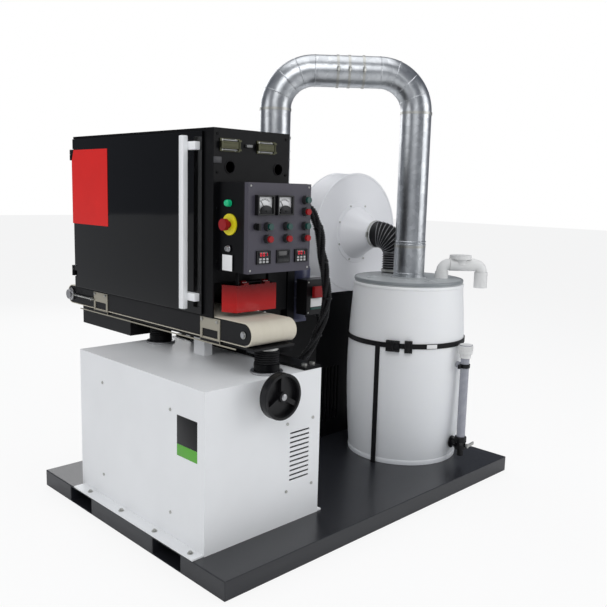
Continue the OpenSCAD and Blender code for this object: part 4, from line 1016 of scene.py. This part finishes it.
def ductDetails():
    low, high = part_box("dust_duct")
    drumAt = floorPoint("collector_drum")
    riser = Vector(duct["riser"])
    topZ = high.z - duct["radius"]
    run = (drumAt - riser).normalized()
    r, e = duct["radius"], duct["elbow"]
    beads = bmesh.new()

    def bead(at, along, wide=0.0024, half=0.003):
        turned(beads, Vector(at) - Vector(along).normalized() * half, along,
               [(0, r + 0.0002), (half * 0.5, r + wide * 0.8), (half, r + wide), (half * 1.5, r + wide * 0.8),
                       (half * 2, r + 0.0002)], 64)

    def elbow(centre, first, second):
        for i in range(5):
            a = math.radians(90 * i / 4)
            at = centre + first * math.cos(a) * e + second * math.sin(a) * e
            along = -first * math.sin(a) + second * math.cos(a)
            bead(at, along, 0.0018, 0.0022)
    up = Vector((0, 0, 1))
    side = Vector((1, 0, 0))
    elbow(Vector((riser.x - e, riser.y, duct["portZ"] + e)), -up, side)
    elbow(Vector((riser.x, riser.y, topZ - e)) + run * e, -run, up)
    elbow(Vector((drumAt.x, drumAt.y, topZ - e)) - run * e, up, run)
    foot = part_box("drum_lid")[1].z
    sleeve = duct["sleeveTop"]
    for z in (foot + 0.018, sleeve, sleeve + 0.012):
        bead((drumAt.x, drumAt.y, z), (0, 0, 1), 0.0045, 0.004)
    for z in (1.52, 1.56):
        bead((riser.x, riser.y, z), (0, 0, 1), 0.003, 0.003)
    piece("duct_beads", beads, galv, "root", "galvanised", angle=50)
    turnedPiece("duct_sleeve", galv, "root", "galvanised", (drumAt.x, drumAt.y, foot + 0.001), (0, 0, 1),
            ringProfile(r + 0.0003, r + 0.0026, sleeve - foot, 0.0005), 72)
    # lapped seam down each straight length and the clamp bolts
    bm = bmesh.new()
    for a, z0, z1 in ((-2.0, sleeve + 0.02, topZ - e - 0.02), (-1.2, foot + 0.03, sleeve - 0.01)):
        grow = 0.0026 if a > -1.5 else 0
        at = drumAt + Vector((math.cos(a), math.sin(a), 0)) * (r + grow + 0.0004)
        turned(bm, (at.x, at.y, z0), (0, 0, 1), [(0, 0), (0, 0.0016), (z1 - z0, 0.0016), (z1 - z0, 0)], 8)
    for a in (-1.9,):
        at = riser + Vector((math.cos(a), math.sin(a), 0)) * (r + 0.0004)
        turned(bm, (at.x, at.y, 1.63), (0, 0, 1), [(0, 0), (0, 0.0016), (0.10, 0.0016), (0.10, 0)], 8)
    piece("duct_seams", bm, galv, "root", "galvanised")
    bm = bmesh.new()
    length = (drumAt - riser).length
    for s in (0.42, 0.5, 0.6):
        at = Vector((riser.x, riser.y, topZ)) + run * (length * s + 0.006)
        across = run.cross(up)
        place = at + across * (r + 0.008)
        verts = block(bm, (-0.006, -0.006, -0.010), (0.006, 0.006, 0.010))
        bmesh.ops.translate(bm, verts=verts, vec=place)
        turned(bm, place + Vector((0, 0, -0.016)), (0, 0, 1), [(0, 0), (0, 0.0028), (0.034, 0.0028), (0.034, 0)], 12)
    piece("clamp_bolts", bm, zinc, "root", "zinc", bevel=0.0008)


ductDetails()


def drumDetails():
    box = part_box("collector_drum")
    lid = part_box("drum_lid")
    centre = floorPoint("collector_drum")
    rim = box[1].z
    bm = bmesh.new()
    # rolled shoulder of the drum mouth and foot ring
    turned(bm, (centre.x, centre.y, rim - 0.016), (0, 0, 1),
            [(0, 0.2695), (0.003, 0.2735), (0.010, 0.2745), (0.015, 0.2720), (0.0162, 0.2660), (0.004, 0.2655),
            (0, 0.2695)], 96)
    turned(bm, (centre.x, centre.y, box[0].z + 0.0005), (0, 0, 1),
            [(0, 0.2695), (0, 0.2735), (0.012, 0.2745), (0.020, 0.2735), (0.024, 0.2715), (0, 0.2695)], 96)
    piece("drum_rolls", bm, drumWhite, "root", "drum_white")
    turnedPiece("lid_ring", lidRim, "root", "lid_grey", (centre.x, centre.y, lid[1].z - 0.0062 - 0.0135), (0, 0, 1),
            [(0, 0.2675), (0.002, 0.2702), (0.010, 0.2706), (0.0135, 0.2685), (0.0146, 0.2640), (0.0142, 0.2600),
            (0, 0.2675)], 96)
    # drain plug and filler on the lid
    bm = bmesh.new()
    top = lid[1].z - 0.006
    for a, d in ((2.6, 0.19), (-1.9, 0.19)):
        turned(bm, (centre.x + d * math.cos(a), centre.y + d * math.sin(a), top - 0.0005), (0, 0, 1),
               [(0, 0), (0, 0.030), (0.003, 0.030), (0.005, 0.027), (0.005, 0.016), (0.009, 0.0145), (0.009, 0)], 36)
    piece("lid_bungs", bm, lidGrey, "root", "lid_grey")


strap = {"middle": 0.662, "tagAngle": -118, "buckles": ((-154, 0.060, 0.048), (-140, 0.034, 0.052))}


def strapDetails():
    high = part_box("drum_strap")[1]
    centre = floorPoint("collector_drum")
    zMid = strap["middle"]
    rad = 0.0045 + (high.x - centre.x)
    tag = bmesh.new()
    verts = block(tag, (rad - 0.002, -0.026, zMid - 0.009), (rad + 0.0008, 0.026, zMid + 0.010))
    bmesh.ops.rotate(tag, verts=verts, cent=(0, 0, 0), matrix=Matrix.Rotation(math.radians(-118), 3, "Z"))
    bmesh.ops.translate(tag, verts=verts, vec=centre)
    piece("strap_tag", tag, blankWhite, "root", "drum_white", bevel=0.0006)
    bm = bmesh.new()
    for angle, wide, tall in strap["buckles"]:
        for z in (zMid - tall * 0.42, zMid + tall * 0.42):
            turnedBlock(bm, (rad + 0.012, -wide / 2, z - 0.004), (rad + 0.0185, wide / 2, z + 0.004),
                    math.radians(angle), "Z", centre)
        turnedBlock(bm, (rad + 0.010, -0.004, zMid - 0.020), (rad + 0.020, 0.004, zMid + 0.020),
                math.radians(angle), "Z", centre)
    piece("buckle_bars", bm, blackPlastic, "root", "black_plastic", bevel=0.0015)


sight = {"angle": -83, "reach": 0.334, "unionBase": 0.143, "capRibs": 20}


def sightDetails():
    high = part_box("sight_tube")[1]
    centre = floorPoint("collector_drum")
    aim = math.radians(sight["angle"])
    out = Vector((math.cos(aim), math.sin(aim), 0))
    axis = centre + out * sight["reach"]
    bm = bmesh.new()
    capBase = high.z - 0.044
    turned(bm, (axis.x, axis.y, capBase - 0.0006), (0, 0, 1),
            [(0, 0.024), (0, 0.0325), (0.004, 0.0335), (0.012, 0.0335), (0.014, 0.0328), (0.040, 0.0325),
            (0.0455, 0.029), (0.0455, 0)], 40)
    for i in range(sight["capRibs"]):
        a = math.tau * i / sight["capRibs"]
        turnedBlock(bm, (0.0322, -0.0022, capBase + 0.016), (0.0350, 0.0022, capBase + 0.040), a, "Z",
                (axis.x, axis.y, 0))
    turned(bm, (axis.x, axis.y, capBase - 0.022), (0, 0, 1), ringProfile(0.0212, 0.0265, 0.0215, 0.002), 40)
    piece("sight_cap", bm, whitePlastic, "root", "pvc_white")
    bm = bmesh.new()
    base = sight["unionBase"]
    turned(bm, (axis.x, axis.y, base - 0.0006), (0, 0, 1),
            [(0, 0), (0, 0.0278), (0.022, 0.0278), (0.024, 0.0245), (0.034, 0.0245), (0.036, 0.0290),
            (0.058, 0.0290), (0.0625, 0.0265), (0.0625, 0.0214)], 40)
    turned(bm, (axis.x, axis.y, base - 0.034), (0, 0, 1), [(0, 0), (0, 0.0158), (0.034, 0.0158), (0.034, 0)], 24)
    wall = centre + out * 0.2840
    turned(bm, (wall.x, wall.y, base + 0.024), out,
            [(0, 0), (0, 0.030), (0.006, 0.030), (0.008, 0.019), (0.030, 0.019), (0.030, 0)], 32)
    piece("sight_union", bm, blackPlastic, "root", "black_plastic", angle=28)
    bm = bmesh.new()
    z = capBase - 0.060
    turned(bm, (axis.x, axis.y, z - 0.010), (0, 0, 1), ringProfile(0.0213, 0.0250, 0.020, 0.0015), 36)
    place = Matrix.Translation(axis) @ Matrix.Rotation(aim, 4, "Z")
    verts = block(bm, (-0.052, -0.010, z - 0.010), (-0.022, 0.010, z + 0.010))
    bmesh.ops.transform(bm, verts=verts, matrix=place)
    verts = block(bm, (-0.0150, -0.046, z - 0.0095), (-0.0045, 0.046, z + 0.0095))
    bmesh.ops.transform(bm, verts=verts, matrix=place)
    piece("sight_bracket", bm, blackPlastic, "root", "black_plastic", bevel=0.001)


lidRim = plastic("lidRim", (0.24, 0.26, 0.27), 0.35, 0.2)
drumDetails()
strapDetails()
sightDetails()
print("drum done")

camera = {"place": (-2.3270, -2.4384, 1.3684), "azimuth": -44.71, "elevation": 8.71, "roll": 1.48, "lens": 43.36}


def setCamera():
    az, el, roll = (math.radians(camera[k]) for k in ("azimuth", "elevation", "roll"))
    back = Vector((math.sin(az) * math.cos(el), -math.cos(az) * math.cos(el), math.sin(el)))
    right = (-back).cross(Vector((0, 0, 1))).normalized()
    up = right.cross(-back)
    turnedRight = right * math.cos(roll) + up * math.sin(roll)
    turnedUp = up * math.cos(roll) - right * math.sin(roll)
    cam = bpy.data.cameras.new("camera")
    cam.lens = camera["lens"]
    cam.sensor_width = 36
    cam.clip_end = 60
    holder = bpy.data.objects.new("camera", cam)
    bpy.context.scene.collection.objects.link(holder)
    facing = Matrix((turnedRight, turnedUp, back)).transposed().to_4x4()
    holder.matrix_world = Matrix.Translation(camera["place"]) @ facing
    bpy.context.scene.camera = holder


lamps = {"key": ((-3.6, -3.2, 4.2), 3.2, 95), "fill": ((2.8, -4.2, 2.4), 3.0, 62), "top": ((0.2, 0.3, 4.8), 3.4, 55),
         "back": ((1.5, 4.6, 3.0), 3.0, 60), "left": ((-4.6, 1.8, 2.2), 2.4, 28)}
studio = {"ambient": ((0.92, 0.95, 1.0), 0.42), "dim": ((0.8, 0.86, 1.0), 0.16), "white": ((1, 1, 1), 1.0)}
floorLook = {"colour": (0.86, 0.86, 0.86), "rough": 0.7, "glowShare": 0.86, "size": 30, "drop": 0.0005}


def setLights():
    for name, (place, size, power) in lamps.items():
        light = bpy.data.lights.new(name, "AREA")
        light.size = size
        light.energy = power
        obj = bpy.data.objects.new(name, light)
        bpy.context.scene.collection.objects.link(obj)
        aim = Vector((0, 0, 0.8)) - Vector(place)
        obj.matrix_world = Matrix.Translation(place) @ aim.to_track_quat("-Z", "Y").to_matrix().to_4x4()
    # the backdrop stays white to the eye, while shiny and matt surfaces see dimmer light
    world = bpy.data.worlds.new("studio")
    sheet = NodeSheet(world)
    ray = sheet.node("LightPath", {}, {})
    ambient, dim, white = (sheet.node("Background", {}, {0: colour, 1: power}) for colour, power in studio.values())
    mirror = sheet.node("MixShader", {}, {0: ray.out("Is Glossy Ray"), 1: ambient, 2: dim})
    seen = sheet.node("Math", {"operation": "MAXIMUM"},
                      {0: ray.out("Is Camera Ray"), 1: ray.out("Is Transmission Ray")})
    sheet.node("OutputWorld", {}, {"Surface": sheet.node("MixShader", {}, {0: seen, 1: mirror, 2: white})})
    bpy.context.scene.world = world


def setFloor():
    mesh = bpy.data.meshes.new("floor")
    bm = bmesh.new()
    bmesh.ops.create_grid(bm, x_segments=1, y_segments=1, size=floorLook["size"])
    bm.to_mesh(mesh)
    bm.free()
    mat = bpy.data.materials.new("studioFloor")
    sheet = NodeSheet(mat)
    base = sheet.node("BsdfPrincipled", {}, {"Base Color": floorLook["colour"], "Roughness": floorLook["rough"]})
    glow = sheet.node("Emission", {}, {"Strength": 1.0})
    share = sheet.node("LightPath", {}, {}).out("Is Camera Ray") * floorLook["glowShare"]
    sheet.node("OutputMaterial", {}, {"Surface": sheet.node("MixShader", {}, {0: share, 1: base, 2: glow})})
    mesh.materials.append(mat)
    floor = bpy.data.objects.new("floor", mesh)
    bpy.context.scene.collection.objects.link(floor)
    floor.location.z = -floorLook["drop"]


setCamera()
setLights()
setFloor()
bpy.context.scene.view_settings.view_transform = "Standard"
print("stage set")
